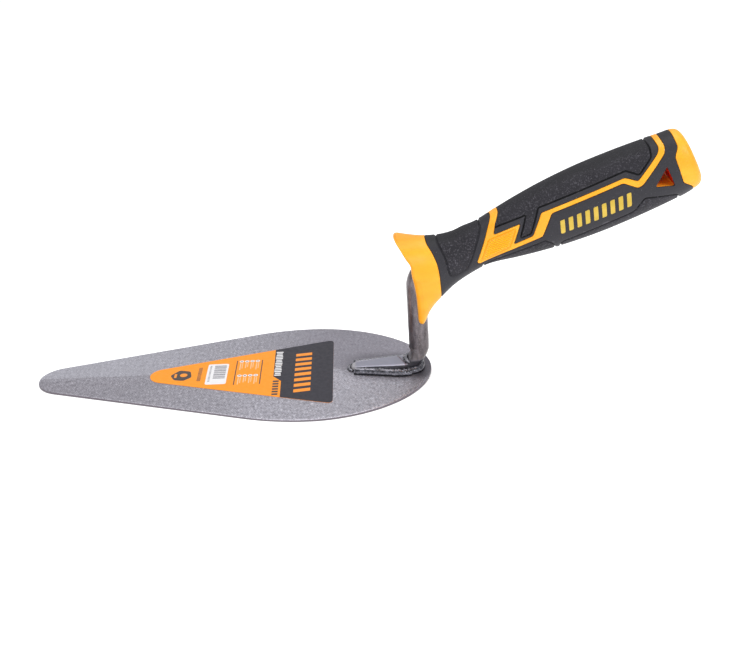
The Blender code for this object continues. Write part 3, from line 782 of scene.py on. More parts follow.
def zone_fields(co):
    """Distance of each point inside the stripe's two outlines, the cap, the guard and the hole."""
    return {
        "outer": inside_on_grip(co, STRIPE_OUTER),
        "inner": inside_on_grip(co, STRIPE_INNER),
        "cap": inside_on_grip(co, CAP_ZONE),
        "guard": inside_distance(side_plane(co), in_metres(GUARD_ZONE, GUARD_CORNER)),
        "hole": inside_distance(side_plane(co), in_metres(HANG_HOLE, HOLE_CORNER)),
    }


def cut_zone(envelope, inside):
    """Copy the part of the envelope where the given distance is positive, with fine rows at its edge."""
    bm = bmesh.new()
    bm.from_mesh(envelope)
    edge = add_field(bm, inside - SEAM)
    far = [v for v in bm.verts if v[edge] < -ZONE_MARGIN]
    bmesh.ops.delete(bm, geom=far, context="VERTS")
    for level in EDGE_LEVELS:
        split_at(bm, edge, level)
    keep_above(bm, edge, 0)
    return bm, edge


def groove_drop(distance):
    """Depth of the groove round a panel, whose inside has positive distances."""
    width = np.where(distance > 0, GROOVE_INNER, GROOVE_OUTER)
    share = np.clip(np.abs(distance) / width, 0, 1)
    wall = GROOVE_DEPTH * (1 + np.cos(math.pi * share)) / 2
    sink = PANEL_SINK * np.clip(distance / GROOVE_INNER, 0, 1)
    return np.maximum(wall, sink)


def rubber_piece(name, envelope, inside, panels, mat):
    """A soft piece with rounded edges, grooved panels and a grain that is coarse only in the panels; the
    same field marks the deep part of each groove for painted shade.
    """
    bm, edge = cut_zone(envelope, inside)
    drop_layers = []
    for panel in panels:
        layer = add_field(bm, inside_on_grip(coordinates(bm), panel))
        for level in GROOVE_LEVELS:
            split_at(bm, layer, level * MM)
        drop_layers.append(layer)
    drop = edge_drop(layer_values(bm, edge), EDGE_RADIUS)
    grain = np.zeros(len(drop))
    for layer in drop_layers:
        distance = layer_values(bm, layer)
        groove = groove_drop(distance)
        drop = np.maximum(drop, groove)
        grain = np.maximum(grain, np.clip(distance / GROOVE_INNER, 0, 1))
        # the deep part of each groove gets negative values, which the material paints as shade
        grain = np.where(groove > GROOVE_DEPTH * GROOVE_SHADE_SHARE, -groove / GROOVE_DEPTH, grain)
    move_along_normals(bm, -drop)
    leave_attribute(bm, "grain", grain)
    return finished(name, bm, mat, shell=RUBBER_SHELL)


# ---------------------------------------------------------------- handle: hard core

POCKET_GAP = 0.12 * MM            # between the shank and the edge of the hole that it enters by
CORE_SHELL = 1.1 * MM
# Hatched patch: its frame, and ribs that run down towards the grip's end
HATCH_FRAME = ((34.5, 3.2), (47.3, 3.9), (41.8, -3.5), (27.9, -5.0))
FRAME_HALF_WIDTH = 0.34 * MM
FRAME_DEPTH = 0.40 * MM
RIB_PITCH = 0.95 * MM
RIB_HEIGHT = 0.30 * MM
RIB_HALF_WIDTH = 0.33 * MM
RIB_ANGLE = math.radians(-45)
RIB_MARGIN = 0.55 * MM
RIB_REACH = 14 * MM               # further than the patch's corners are from its middle
RIB_STEP = 0.3 * MM


def shank_distance(co):
    """Distance of each point to the axis of the shank's neck and tang."""
    above_foot = shank_controls()[len(FOOT_SECTIONS) + BEND_STEPS:]
    axis = np.array([(row[0], 0.0, row[1]) for row in above_foot])
    return np.min([line_distance(co, a, b) for a, b in zip(axis, axis[1:])], 0)


def yellow_core(envelope, zones, mat):
    """Guard, stripes, hatched patch and end cap: one moulding, seen wherever the rubber leaves it bare."""
    stripe = np.minimum(zones["outer"], -zones["inner"])
    inside = np.maximum(np.maximum(zones["guard"], stripe), zones["cap"])
    bm, edge = cut_zone(envelope, inside)
    pocket = add_field(bm, shank_distance(coordinates(bm)) - NECK_RADIUS - POCKET_GAP)
    split_at(bm, pocket, 0.0)
    keep_above(bm, pocket, 0)
    patch = add_field(bm, inside_on_grip(coordinates(bm), HATCH_FRAME))
    for share in (0, 0.5, 1, -0.5, -1):
        split_at(bm, patch, share * FRAME_HALF_WIDTH)
    drop = edge_drop(layer_values(bm, edge), EDGE_RADIUS)
    from_frame = np.clip(layer_values(bm, patch) / FRAME_HALF_WIDTH, -1, 1)
    drop += FRAME_DEPTH * (1 + np.cos(math.pi * from_frame)) / 2
    move_along_normals(bm, -drop)
    # the patch field tells the material where to paint the shade between the hatch's ribs
    leave_attribute(bm, "patch", np.maximum(from_frame, 0))
    return finished("hard_core", bm, mat, shell=CORE_SHELL)


RIDGE_STEPS = 6                   # faces across a ridge
RIDGE_END = 0.4                   # how much of its size is left at its ends
RIDGE_SINK = 0.03 * MM
RIDGE_ROOT = 0.25 * MM            # how deep its foot reaches under the surface


def ridge_along(bm, tree, path, side, half_width, height):
    """A low rounded ridge that follows the handle's side along points of the handle's plane."""
    rings = []
    for k, (s, t) in enumerate(path):
        ahead = np.array(path[min(k + 1, len(path) - 1)]) - np.array(path[max(k - 1, 0)])
        hit, normal = on_side(tree, *grip_xz(s / MM, t / MM), side)
        if hit is None:
            return
        run = Vector(GRIP_ALONG * ahead[0] + GRIP_ABOVE * ahead[1])
        across = normal.cross(run).normalized()
        taper = RIDGE_END if k in (0, len(path) - 1) else 1.0
        ring = []
        for j in range(RIDGE_STEPS + 1):
            angle = math.pi * j / RIDGE_STEPS
            lift = normal * (height * math.sin(angle) * taper - RIDGE_SINK)
            ring.append(hit + across * half_width * math.cos(angle) * taper + lift)
        rings.append(ring + [hit - normal * RIDGE_ROOT])
    add_skin(bm, rings)


def hatch_ribs(tree, mat):
    bm = bmesh.new()
    outline = in_metres(HATCH_FRAME, CORNER)
    centre = outline.mean(0)
    along = np.array([math.cos(RIB_ANGLE), math.sin(RIB_ANGLE)])
    beside = np.array([-along[1], along[0]])
    steps = np.arange(-RIB_REACH, RIB_REACH, RIB_STEP)
    most = int(RIB_REACH / RIB_PITCH)
    for k in range(-most, most + 1):
        line = centre + beside * k * RIB_PITCH + along * steps[:, None]
        line = line[inside_distance(line, outline) > RIB_MARGIN]
        if len(line) < 4:
            continue
        for side in (-1, 1):
            ridge_along(bm, tree, [tuple(p) for p in line], side, RIB_HALF_WIDTH, RIB_HEIGHT)
    finished("hatch_ribs", bm, mat, outward=True)


# Generic raised dashes on the end cap and a plain zigzag line on the back pad
CAP_DASH_COUNT = 8
CAP_DASH_FROM = (122.6, 6.4)
CAP_DASH_TO = (122.6, -6.6)
CAP_DASH_LENGTH = 1.5
MARK_HALF_WIDTH = 0.24 * MM
MARK_HEIGHT = 0.07 * MM
ZIGZAG = (
    (93.6, 13.2), (96.8, 13.0), (98.6, 13.9), (100.2, 12.5), (102.0, 13.6), (103.8, 12.4), (106.6, 13.4),
)


def cap_dashes(tree, mat):
    bm = bmesh.new()
    start, end = np.array(CAP_DASH_FROM), np.array(CAP_DASH_TO)
    for k in range(CAP_DASH_COUNT):
        s, t = start + (end - start) * k / (CAP_DASH_COUNT - 1)
        reach = np.linspace(-CAP_DASH_LENGTH / 2, CAP_DASH_LENGTH / 2, 6)
        path = [((s + r) * MM, t * MM) for r in reach]
        for side in (-1, 1):
            ridge_along(bm, tree, path, side, MARK_HALF_WIDTH, MARK_HEIGHT)
    finished("end_cap_dashes", bm, mat, outward=True)


def pad_zigzag(tree, mat):
    bm = bmesh.new()
    corners = np.array(rounded(ZIGZAG, 0.5, closed=False)) * MM
    for side in (-1, 1):
        ridge_along(bm, tree, [tuple(p) for p in corners], side, MARK_HALF_WIDTH, MARK_HEIGHT)
    finished("pad_zigzag", bm, mat, outward=True)


# Generic slanted bars on the smooth side panel
BAR_COUNT = 9
BAR_FROM, BAR_TO = 63.8, 97.0
BAR_TOP, BAR_BOTTOM = 0.2, -5.9
BAR_WIDTH = 2.1
BAR_LEAN = 1.6
BAR_CORNER = 0.3 * MM
BAR_HEIGHT = 0.10 * MM
BAR_RIM = 0.02 * MM               # width and height of a bar's lower rim


def slanted_bars():
    pitch = (BAR_TO - BAR_FROM - BAR_WIDTH - BAR_LEAN) / (BAR_COUNT - 1)
    bars = []
    for k in range(BAR_COUNT):
        s = BAR_FROM + k * pitch
        bars.append(((s, BAR_BOTTOM), (s + BAR_WIDTH, BAR_BOTTOM),
                     (s + BAR_WIDTH + BAR_LEAN, BAR_TOP), (s + BAR_LEAN, BAR_TOP)))
    return bars


def side_bars(envelope, co, mat):
    inside = np.max([inside_on_grip(co, bar, BAR_CORNER) for bar in slanted_bars()], 0)
    bm, edge = cut_zone(envelope, inside)
    move_along_normals(bm, np.where(layer_values(bm, edge) < BAR_RIM, BAR_RIM, BAR_HEIGHT))
    finished("side_bars", bm, mat, shell=0.3 * MM)


SLEEVE_DEPTH = 1.5 * MM           # where the sleeve starts, under the rubber's face
SLEEVE_DRAFT = 0.10               # how much the hole narrows towards the middle


def hole_sleeve(tree, mat):
    """The hard core's own wall round the hang hole, narrower in the middle as moulds leave it."""
    corners = [(x * MM, z * MM) for x, z in HANG_HOLE]
    outline = np.array(rounded(corners, HOLE_CORNER, 8))
    centre = np.array(corners).mean(0)
    rings = []
    for share in np.linspace(-1, 1, 25):
        narrow = 1 - SLEEVE_DRAFT * (1 - abs(share))
        ring = []
        for x, z in outline:
            near, _ = on_side(tree, x, z, 1)
            px, pz = centre + (np.array([x, z]) - centre) * narrow
            ring.append((px, (near.y - SLEEVE_DEPTH) * share, pz))
        rings.append(ring)
    bm = loft(rings)
    ends = [f for f in bm.faces if len(f.verts) > 4]
    bmesh.ops.delete(bm, geom=ends, context="FACES_ONLY")
    bmesh.ops.recalc_face_normals(bm, faces=bm.faces)
    bm.faces.ensure_lookup_table()
    wall = bm.faces[0]
    middle = Vector((centre[0], wall.calc_center_median().y, centre[1]))
    if wall.normal.dot(middle - wall.calc_center_median()) < 0:
        bmesh.ops.reverse_faces(bm, faces=bm.faces)
    finished("hang_hole_sleeve", bm, mat, shell=0.8 * MM)


def build_handle():
    yellow = hard_plastic("yellow_plastic", (0.88, 0.350, 0.006), (0.93, 0.382, 0.009), (1.0, 0.435, 0.02))
    ribs = hard_plastic("rib_plastic", (0.90, 0.385, 0.002), (0.95, 0.415, 0.004), (1.0, 0.45, 0.008),
                        0.45, 0.10)
    mustard = hard_plastic("mustard_ink", (0.50, 0.33, 0.030), (0.58, 0.39, 0.042), (0.67, 0.46, 0.07),
                           0.5)
    rubber = soft_rubber()
    envelope, tree = handle_envelope()
    co = np.array([v.co[:] for v in envelope.vertices])
    zones = zone_fields(co)

    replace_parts(yellow_core(envelope, zones, yellow), "handle_core")
    body = -np.max([zones["outer"], zones["guard"], zones["cap"], zones["hole"] - HOLE_OVERLAP], 0)
    panels = (COLLAR_PANEL, BELLY_FRONT, BELLY_REAR)
    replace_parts(rubber_piece("soft_grip", envelope, body, panels, rubber), "grip_body")
    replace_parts(rubber_piece("back_pad", envelope, zones["inner"], (PAD_PANEL,), rubber), "grip_back_pad")
    hatch_ribs(tree, ribs)
    cap_dashes(tree, yellow)
    pad_zigzag(tree, rubber)
    side_bars(envelope, co, mustard)
    hole_sleeve(tree, shaded_sleeve_plastic())
    bpy.data.meshes.remove(envelope)


# ---------------------------------------------------------------- blade

BLADE_LOW, BLADE_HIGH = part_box("blade")
TIP_X, HEEL_X = BLADE_LOW.x, BLADE_HIGH.x
HALF_WIDTH = BLADE_HIGH.y
BLADE_LENGTH = HEEL_X - TIP_X
THICK_HEEL = BLADE_HIGH.z
THICK_TIP = 1.3 * MM
SIDE_FALL = 0.016                 # how fast each half falls from the ridge
WIDEST_FROM_HEEL = 55 * MM
SHOULDER_RADIUS = 85 * MM
FLANK_ANGLE = math.radians(18.6)
HEEL_EXPONENT = 1.9
BLADE_EDGE_RADIUS = 0.32 * MM
BLADE_EDGE_LEVELS = (0.0, 0.05 * MM, 0.14 * MM, 0.32 * MM)
BLADE_CELL = 2 * MM
BLADE_MARGIN = 4 * MM             # how much larger the grid is than the blade that is cut from it
RIDGE_HALF_WIDTH = 0.5 * MM       # the two ground halves meet in a rounded ridge


def blade_top(x, y):
    along = (HEEL_X - x) / BLADE_LENGTH
    return THICK_HEEL + (THICK_TIP - THICK_HEEL) * along - SIDE_FALL * abs(y)


def blade_outline():
    """Superelliptic heel, shoulder arc, straight flank and tip arc, on both sides."""
    widest_x = HEEL_X - WIDEST_FROM_HEEL
    back, out = superellipse(np.linspace(0, math.pi / 2, 49), HEEL_EXPONENT)
    heel = np.stack([widest_x + WIDEST_FROM_HEEL * back, HALF_WIDTH * out], 1)
    angle = np.linspace(0, FLANK_ANGLE, 12)[1:]
    shoulder = np.stack([widest_x - SHOULDER_RADIUS * np.sin(angle),
                         HALF_WIDTH - SHOULDER_RADIUS * (1 - np.cos(angle))], 1)
    flank_x, flank_y = shoulder[-1]
    reach = flank_y - math.tan(FLANK_ANGLE) * (flank_x - TIP_X)
    radius = reach * math.cos(FLANK_ANGLE) / (1 - math.sin(FLANK_ANGLE))
    angle = np.linspace(math.pi / 2 - FLANK_ANGLE, 0, 18)
    tip = np.stack([TIP_X + radius - radius * np.cos(angle), radius * np.sin(angle)], 1)
    half = np.vstack([heel, shoulder, tip])
    half[[0, -1], 1] = 0
    return np.vstack([half, half[-2:0:-1] * (1, -1)])


def build_blade():
    """A plate with rounded edges, ground down from a soft ridge on both sides."""
    bm = bmesh.new()
    length, width = BLADE_LENGTH + BLADE_MARGIN, 2 * HALF_WIDTH + BLADE_MARGIN
    columns, rows = math.ceil(length / BLADE_CELL), math.ceil(width / BLADE_CELL)
    bmesh.ops.create_grid(bm, x_segments=columns, y_segments=rows, size=0.5)
    for vert in bm.verts:
        vert.co.x = (TIP_X + HEEL_X) / 2 + vert.co.x * length
        vert.co.y *= width
    edge = add_field(bm, inside_distance(coordinates(bm)[:, :2], blade_outline()))
    for level in BLADE_EDGE_LEVELS:
        split_at(bm, edge, level, reach=2 * BLADE_CELL)
    keep_above(bm, edge, 0)
    across = add_field(bm, coordinates(bm)[:, 1])
    for level in (0.0, -RIDGE_HALF_WIDTH, RIDGE_HALF_WIDTH):
        split_at(bm, across, level, reach=2 * BLADE_CELL)
    extrude_to(bm, THICK_HEEL)
    for vert in bm.verts:
        drop = float(edge_drop(np.array([max(0.0, vert[edge])]), BLADE_EDGE_RADIUS)[0])
        ridge_y = math.hypot(vert.co.y, RIDGE_HALF_WIDTH)
        vert.co.z = blade_top(vert.co.x, ridge_y) - drop if vert.co.z > 0 else drop
    bm.verts.layers.float.remove(across)
    bm.verts.layers.float.remove(bm.verts.layers.float[0])
    blade = finished("ground_blade", bm, blade_steel(), sharp=50, outward=True)
    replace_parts(blade, "blade")


# ---------------------------------------------------------------- shank

NECK_RADIUS = 4.5 * MM
NECK_LEAN = 0.03
NECK_X = -0.4 * MM
FOOT_BASE = THICK_HEEL
LOW_BEND_RADIUS = NECK_RADIUS + 1.6 * MM
NECK_TOP_Z = 41 * MM
TANG_LENGTH = 88 * MM
TANG_DROP = 1.5 * MM
BEND_STEPS = 6
LOW_BEND_HALF_WIDTH = 6.2 * MM    # where the bend leaves the foot
LOW_BEND_HALF_HEIGHT = 1.75 * MM
SHANK_CELL = 0.5 * MM
DENTS = ((260, 0.07), (900, 0.025))     # how many to the metre, and their depth in millimetres
# Foot from nose to heel: X, half width at the blade, height of its top, how much the top is narrower,
# and the section's exponent
FOOT_SECTIONS = (
    (-31.4, 1.6, 2.4, 0.30, 2.8), (-30.8, 2.7, 3.0, 0.30, 4.0), (-29.6, 3.5, 3.5, 0.24, 6.0),
    (-24.0, 4.3, 4.0, 0.22, 7.0), (-17.0, 5.4, 4.5, 0.20, 7.0), (-11.5, 6.1, 4.9, 0.18, 6.0),
)


def shank_controls():
    """Sections as centre X and Z, way to the upper side, half width, half height, taper, exponent."""
    rows = []
    for x, half_width, top, taper, exponent in FOOT_SECTIONS:
        middle = (FOOT_BASE + top * MM) / 2
        rows.append([x * MM, middle, 0, 1, half_width * MM, top * MM - middle, taper, exponent])
    # the first bend turns the upper side from above the foot to the front of the neck
    hub = np.array([NECK_X - LOW_BEND_RADIUS, FOOT_BASE + NECK_RADIUS + LOW_BEND_RADIUS])
    for k in range(BEND_STEPS + 1):
        u = k / BEND_STEPS
        spoke = np.array([math.sin(math.pi / 2 * u), -math.cos(math.pi / 2 * u)])
        grown = min(1.0, 1.5 * u)
        half_width = LOW_BEND_HALF_WIDTH * (1 - grown) + NECK_RADIUS * grown
        half_height = LOW_BEND_HALF_HEIGHT * (1 - grown) + NECK_RADIUS * grown
        centre = hub + spoke * (LOW_BEND_RADIUS + NECK_RADIUS - half_height)
        rows.append([*centre, *-spoke, half_width, half_height, 0.15 * (1 - grown), 4.0 - 2.0 * grown])
    lean = np.array([-NECK_LEAN, 1]) / math.hypot(NECK_LEAN, 1)
    forward = np.array([lean[1], -lean[0]])
    start = hub + (LOW_BEND_RADIUS, 0)
    top = start + lean * (NECK_TOP_Z - start[1])
    round_section = [NECK_RADIUS, NECK_RADIUS, 0, 2]
    for share in (0.25, 0.5, 0.75, 1.0):
        rows.append([*(start + (top - start) * share), *-forward, *round_section])
    tang_dir, tang_up = GRIP_ALONG[[0, 2]], GRIP_ABOVE[[0, 2]]
    turn = math.acos(lean @ tang_dir)
    rise = (GRIP_ORIGIN[[0, 2]] - tang_up * TANG_DROP - top) @ tang_up
    bend = rise / (1 - math.cos(turn))
    hub = top + forward * bend
    for k in range(1, BEND_STEPS + 1):
        angle = turn * k / BEND_STEPS
        spoke = lean * math.sin(angle) - forward * math.cos(angle)
        rows.append([*(hub + spoke * bend), *spoke, *round_section])
    end = hub + tang_up * bend
    for share, size in ((0.3, 1.0), (0.97, 0.72), (1.0, 0.55)):
        radius = NECK_RADIUS * size
        rows.append([*(end + tang_dir * TANG_LENGTH * share), *tang_up, radius, radius, 0, 2])
    return rows


def shank_ring(row, points=72):
    centre, up, half_width, half_height, taper, exponent = row[:2], row[2:4], *row[4:]
    up = up / np.linalg.norm(up)
    wide, tall = superellipse(np.linspace(0, math.tau, points, endpoint=False) + 0.01, exponent)
    wide = wide * half_width * (1 - taper * (tall + 1) / 2)
    middle = centre + up * (tall * half_height)[:, None]
    return np.stack([middle[:, 0], wide, middle[:, 1]], 1)


def build_shank():
    """One forging: flattened foot, bend, leaning neck, bend, and the tang inside the handle."""
    controls = shank_controls()
    rings = []
    for index in range(len(controls) - 1):
        gap = math.dist(controls[index + 1][:2], controls[index][:2])
        steps = max(2, math.ceil(min(gap, 16 * SHANK_CELL) / SHANK_CELL))
        rings += [shank_ring(catmull_rom(controls, index, k / steps)) for k in range(steps)]
    rings.append(shank_ring(np.array(controls[-1])))
    bm = loft(rings)
    bm.normal_update()
    bmesh.ops.recalc_face_normals(bm, faces=bm.faces)
    bm.normal_update()
    for vert in bm.verts:
        dent = sum(noise.noise(vert.co * rate) * depth for rate, depth in DENTS)
        vert.co += vert.normal * dent * MM
    shank = finished("forged_shank", bm, forged_steel(), sharp=60)
    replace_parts(shank, "shank")


# ---------------------------------------------------------------- weld beads

# Each bead runs along points in X and Y on the blade
SIDE_BEAD = ((-30.2, 4.9), (-27.5, 5.5), (-22.0, 6.4), (-16.0, 7.5), (-10.0, 8.6), (-4.0, 8.0))
TOE_BEAD = ((-30.6, -3.9), (-31.9, -2.6), (-32.4, -0.6), (-32.0, 1.6), (-30.9, 3.4))
HEEL_BEAD = ((-6.4, -7.2), (-3.2, -6.4), (-0.8, -4.2), (0.2, 0.0), (-0.8, 4.2), (-3.2, 6.4), (-6.4, 7.2))
FILLET_BEAD = ((-4.9, -4.9), (-6.0, -3.2), (-6.7, 0.0), (-6.0, 3.2), (-4.9, 4.9))
FOOT_TOP = 5.6 * MM               # the fillet in the shank's inner corner lies on the foot
# Name, the node it replaces, path, radius, the noise's seed, and height as a share of the radius
WELDS = (
    ("left_weld", "weld_left", SIDE_BEAD, 1.8, 1.0, 0.7),
    ("right_weld", "weld_right", [(x, -y) for x, y in SIDE_BEAD], 1.9, 5.0, 1.3),
    ("toe_weld", "weld_toe", TOE_BEAD, 0.8, 9.0, 1.0),
    ("heel_weld", "weld_heel", HEEL_BEAD, 2.0, 13.0, 1.15),
)
# Waves along a bead, and the unevenness of its width and of its surface, as shares of its radius
RIPPLE = 0.035
RIPPLE_LENGTH = 1.25
LUMPS = 0.13
ROUGHNESS = 0.10
RING_POINTS = 20


def smooth_path(points, spacing=0.25):
    path = []
    for index in range(len(points) - 1):
        gap = math.dist(points[index], points[index + 1])
        steps = max(2, math.ceil(gap / spacing))
        path += [catmull_rom(points, index, k / steps) for k in range(steps)]
    return path + [np.array(points[-1], float)]


def weld_bead(name, points, radius, seed, height, mat, bed=None):
    """A rippled, lumpy bead laid on the blade; its waves are the welder's short pauses."""
    path = smooth_path(points)
    rings, travelled = [], 0.0
    for k, here in enumerate(path):
        ahead = path[min(k + 1, len(path) - 1)] - path[max(k - 1, 0)]
        travelled += math.dist(here, path[max(k - 1, 0)])
        beside = Vector((-ahead[1], ahead[0], 0)).normalized()
        wobble = noise.noise(Vector((travelled * 0.8, seed, 0)))
        ripple = 1 + RIPPLE * math.sin(math.tau * travelled / RIPPLE_LENGTH) + LUMPS * wobble
        end_share = min(1.0, 0.45 + min(k, len(path) - 1 - k) * 0.16)
        size = radius * ripple * end_share * MM
        x, y = here * MM
        centre = Vector((x, y, bed or blade_top(x, y) + 0.1 * MM)) + beside * wobble * 0.3 * MM
        ring = []
        for j in range(RING_POINTS):
            angle = math.tau * j / RING_POINTS
            rough = 1 + ROUGHNESS * noise.noise(Vector((travelled * 2.2, angle * 1.6, seed)))
            lift = math.sin(angle) * (height if math.sin(angle) > 0 else 0.05)
            ring.append(centre + (beside * math.cos(angle) + Vector((0, 0, lift))) * size * rough)
        rings.append(ring)
    return finished(name, loft(rings), mat, outward=True)


def build_welds():
    mat = weld_metal()
    for name, node, points, radius, seed, height in WELDS:
        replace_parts(weld_bead(name, points, radius, seed, height, mat), node)
    weld_bead("fillet_weld", FILLET_BEAD, 1.1, 17.0, 0.8, mat, FOOT_TOP)


# ---------------------------------------------------------------- label

LABEL_LOW, LABEL_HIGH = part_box("blade_label")
LABEL_REAR = LABEL_HIGH.x / MM
LABEL_TIP = LABEL_LOW.x / MM
LABEL_MIDDLE = (LABEL_LOW.y + LABEL_HIGH.y) / 2 / MM
LABEL_HALF_WIDTH = (LABEL_HIGH.y - LABEL_LOW.y) / 2 / MM
LABEL_TIP_RADIUS = 7.0
LABEL_CUT = 8.0                   # how far ahead of the rear corners the flanks' last points lie
LABEL_CORNER = 3.4
LIFT = 0.01                       # air under the film, in millimetres like the two thicknesses
FILM = 0.10
INK = 0.02
BLACK_EDGE = ((-67.3, 60.0), (-66.5, -5.6), (-62.9, -10.2), (-62.4, -60.0))


def label_outline():
    """Truncated triangle with its rounded tip towards the blade's tip, in millimetres."""
    hub = LABEL_TIP + LABEL_TIP_RADIUS
    reach = LABEL_REAR - hub
    slope = math.asin((LABEL_HALF_WIDTH - LABEL_TIP_RADIUS) / math.hypot(reach, LABEL_HALF_WIDTH))
    cut_x, cut_y = LABEL_REAR - LABEL_CUT, LABEL_HALF_WIDTH - LABEL_CUT * math.tan(slope)
    points = rounded([(cut_x, -cut_y), (LABEL_REAR, -LABEL_HALF_WIDTH), (LABEL_REAR, LABEL_HALF_WIDTH),
                      (cut_x, cut_y)], LABEL_CORNER, 6, closed=False)
    for k in range(25):
        angle = math.pi / 2 + slope + (math.pi - 2 * slope) * k / 24
        points.append((hub + LABEL_TIP_RADIUS * math.cos(angle), LABEL_TIP_RADIUS * math.sin(angle)))
    return [(x, y + LABEL_MIDDLE) for x, y in points]


def clipped(outline, clip):
    """The part of an outline that lies inside a convex clip outline."""
    area = sum(a[0] * b[1] - a[1] * b[0] for a, b in zip(clip, clip[1:] + clip[:1]))
    result = list(outline)
    for a, b in zip(clip, clip[1:] + clip[:1]):
        side = [((b[0] - a[0]) * (p[1] - a[1]) - (b[1] - a[1]) * (p[0] - a[0])) * area for p in result]
        kept = []
        for i, p in enumerate(result):
            q, sp, sq = result[i - 1], side[i], side[i - 1]
            if (sp >= 0) != (sq >= 0):
                share = sq / (sq - sp)
                kept.append((q[0] + (p[0] - q[0]) * share, q[1] + (p[1] - q[1]) * share))
            if sp >= 0:
                kept.append(p)
        result = kept
    return result


def film_piece(name, outlines, lift, thickness, mat):
    """Flat shapes laid on the blade and folded over its ridge."""
    bm = bmesh.new()
    for outline in outlines:
        face = bm.faces.new([bm.verts.new((x * MM, y * MM, 0)) for x, y in outline])
        if face.calc_area() == 0:
            bm.faces.remove(face)
    bmesh.ops.dissolve_degenerate(bm, edges=bm.edges, dist=0.001 * MM)
    everything = bm.verts[:] + bm.edges[:] + bm.faces[:]
    bmesh.ops.bisect_plane(bm, geom=everything, plane_co=(0, 0, 0), plane_no=(0, 1, 0))
    extrude_to(bm, thickness * MM)
    for vert in bm.verts:
        vert.co.z += blade_top(vert.co.x, vert.co.y) + lift * MM
    return finished(name, bm, mat, sharp=30, outward=True)


def block(x, y, length, width):
    """A rectangle from its middle, its length along X and its width along Y."""
    return [(x - length / 2, y - width / 2), (x + length / 2, y - width / 2),
            (x + length / 2, y + width / 2), (x - length / 2, y + width / 2)]


def ngon(x, y, radius, sides, turn=0.0):
    return [(x + radius * math.cos(math.tau * k / sides + turn),
             y + radius * math.sin(math.tau * k / sides + turn)) for k in range(sides)]


def build_label():
    """A plain two-colour label; every printed mark on it is a generic bar, dash or shape."""
    orange = printed_film("label_orange", (0.95, 0.31, 0.014), (0.88, 0.26, 0.01))
    black = printed_film("label_black", (0.030, 0.028, 0.038), (0.022, 0.020, 0.028))
    white = printed_film("label_white", (0.80, 0.79, 0.80), (0.70, 0.69, 0.70))
    dark = printed_film("label_ink", (0.075, 0.060, 0.055), (0.05, 0.04, 0.04))
    pale = printed_film("label_pale_ink", (0.90, 0.52, 0.28), (0.86, 0.42, 0.16))
    grey = printed_film("label_grey_ink", (0.22, 0.21, 0.24), (0.16, 0.15, 0.18))
    amber = printed_film("label_amber", (0.90, 0.30, 0.03), (0.78, 0.22, 0.015))

    film = label_outline()
    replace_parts(film_piece("label_film", [film], LIFT, FILM, orange), "blade_label")
    # the panel's edge has a step, so it is cut from the film as two parts that meet
    far, step, foot, near = BLACK_EDGE
    rear = clipped(film, [foot, near, (-20, -60), (-20, 60), (foot[0], 60)])
    strip = clipped(film, [far, step, foot, (foot[0], 60)])
    printed = LIFT + FILM
    over_black = printed + INK
    film_piece("label_black_panel", [rear, strip], printed, INK, black)

    marks = []
    for k in range(8):
        y = 16.0 - k * 5.1
        marks.append([(-57.0, y - 1.8), (-49.6, y - 0.6), (-49.6, y + 2.2), (-57.0, y + 1.0)])
    film_piece("label_amber_bars", marks, over_black, INK, amber)
    title = [block(-64.7, 19.6 - k * 1.72, (3.2, 2.6, 2.9, 3.3)[k % 4], 1.05) for k in range(15)]
    film_piece("label_white_title", title, over_black, INK, white)

    # two groups of captions, each a round spot with a dashed column beside it
    spots, captions = [], []
    for group_y, longest in ((11.2, 7.4), (-3.6, 6.6)):
        for k in range(4):
            x = -74.6 - k * 2.45
            spots.append(ngon(x, group_y, 1.05, 14))
            length = longest - (k % 3) * 0.9
            captions.append(block(x - 0.35, group_y - 1.6 - length / 2, 0.5, length))
            captions.append(block(x + 0.55, group_y - 1.6 - length * 0.4, 0.4, length * 0.8))
    card = rounded(block(-92.3, -0.8, 9.4, 20.2), 1.2)
    film_piece("label_white_print", [card] + spots, printed, INK, white)
    film_piece("label_pale_captions", captions, printed, INK, pale)
    spot_marks = [block(*np.mean(spot, 0), 1.0, 0.5) for spot in spots]
    film_piece("label_spot_marks", spot_marks, over_black, INK, dark)

    ink = [block(-84.0, 0.0, 0.45, 24.4), block(-72.4, 0.0, 0.45, 24.4)]
    ink += [block(-65.2, -10.3 - k * 2.4, 2.7, 1.5) for k in range(6)]
    ink += [block(-100.2, 5.8 - k * 1.15, 1.7, 0.6) for k in range(12)]
    film_piece("label_dark_print", ink, printed, INK, dark)
    pictogram = rounded([(-113.4, -1.0), (-109.6, 4.2), (-104.6, 2.6), (-103.6, -3.2), (-107.0, -6.4),
                         (-111.4, -5.4)], 1.2)
    film_piece("label_badge", [pictogram], printed, INK, dark)
    film_piece("label_badge_centre", [ngon(-107.4, -1.0, 1.7, 24), block(-111.0, -1.4, 1.1, 3.6)],
               over_black, INK, amber)

    # stripes of uneven width that run along the blade, beside a column of small dashes
    stripes, y = [], 7.6
    for k in range(19):
        width = (0.25, 0.45, 0.2, 0.6, 0.3)[k % 5]
        stripes.append(block(-91.2, y, 5.4, width))
        y -= width / 2 + (0.55, 0.35, 0.7)[k % 3]
    stripes += [block(-95.6, 7.2 - k * 1.25, 0.9, 0.55) for k in range(13)]
    film_piece("label_stripes", stripes, over_black, INK, grey)


# ---------------------------------------------------------------- stage

FLOOR_SIZE = 8
SKY_COLOUR = (0.97, 0.98, 1.0, 1)
SKY_STRENGTH = 0.62
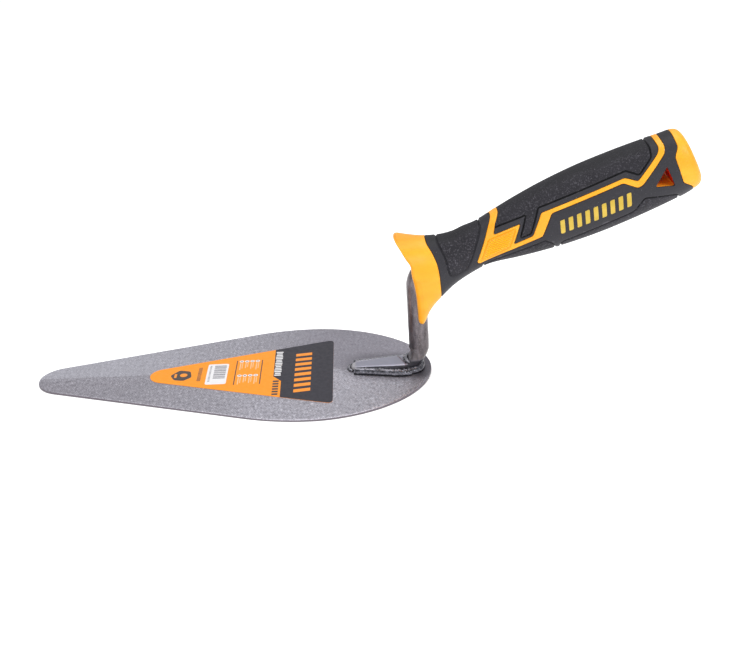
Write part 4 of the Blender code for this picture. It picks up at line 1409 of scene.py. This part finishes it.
# Soft boxes: name, place, what they point at, size and watts
SOFT_BOXES = (
    ("overhead", (-0.1, 0.15, 0.9), (0, 0, 0), (0.9, 0.6), 4),
    ("key_right", (0.65, -0.55, 0.6), (0, 0, 0.04), (0.5, 0.4), 3.4),
    ("front_fill", (-0.35, -0.9, 0.45), (-0.03, 0, 0.03), (0.6, 0.4), 2.2),
)
# Seen from the side, 24 degrees above the floor and rolled by 2 degrees
CAMERA_PLACE = (-0.02478, -0.48873, 0.24487)
CAMERA_RIGHT = (0.99929, -0.02329, -0.02967)
CAMERA_UP = (0.03664, 0.41322, 0.90990)
LENS = 57.6
SENSOR_WIDTH = 36


def build_stage():
    """Pale floor and sky, and three soft boxes."""
    scene = bpy.context.scene
    bpy.ops.mesh.primitive_plane_add(size=FLOOR_SIZE)
    floor = bpy.context.object
    floor.name = "floor"
    floor.data.materials.append(floor_finish())
    scene.world = bpy.data.worlds.new("studio")
    scene.world.use_nodes = True
    sky = scene.world.node_tree.nodes["Background"]
    sky.inputs["Color"].default_value = SKY_COLOUR
    sky.inputs["Strength"].default_value = SKY_STRENGTH
    scene.view_settings.view_transform = "Standard"
    for name, place, target, size, watts in SOFT_BOXES:
        light = bpy.data.lights.new(name, "AREA")
        light.shape = "RECTANGLE"
        light.size, light.size_y = size
        light.energy = watts
        lamp = bpy.data.objects.new(name, light)
        lamp.location = place
        lamp.rotation_euler = (Vector(target) - Vector(place)).to_track_quat("-Z", "Y").to_euler()
        scene.collection.objects.link(lamp)


def build_camera():
    right, up = Vector(CAMERA_RIGHT), Vector(CAMERA_UP)
    turn = Matrix((right, up, right.cross(up).normalized())).transposed().to_4x4()
    camera = bpy.data.cameras.new("camera")
    camera.lens = LENS
    camera.sensor_width = SENSOR_WIDTH
    obj = bpy.data.objects.new("camera", camera)
    obj.matrix_world = Matrix.Translation(CAMERA_PLACE) @ turn
    bpy.context.scene.collection.objects.link(obj)
    bpy.context.scene.camera = obj


build_camera()
build_stage()
build_blade()
build_shank()
build_welds()
build_label()
build_handle()
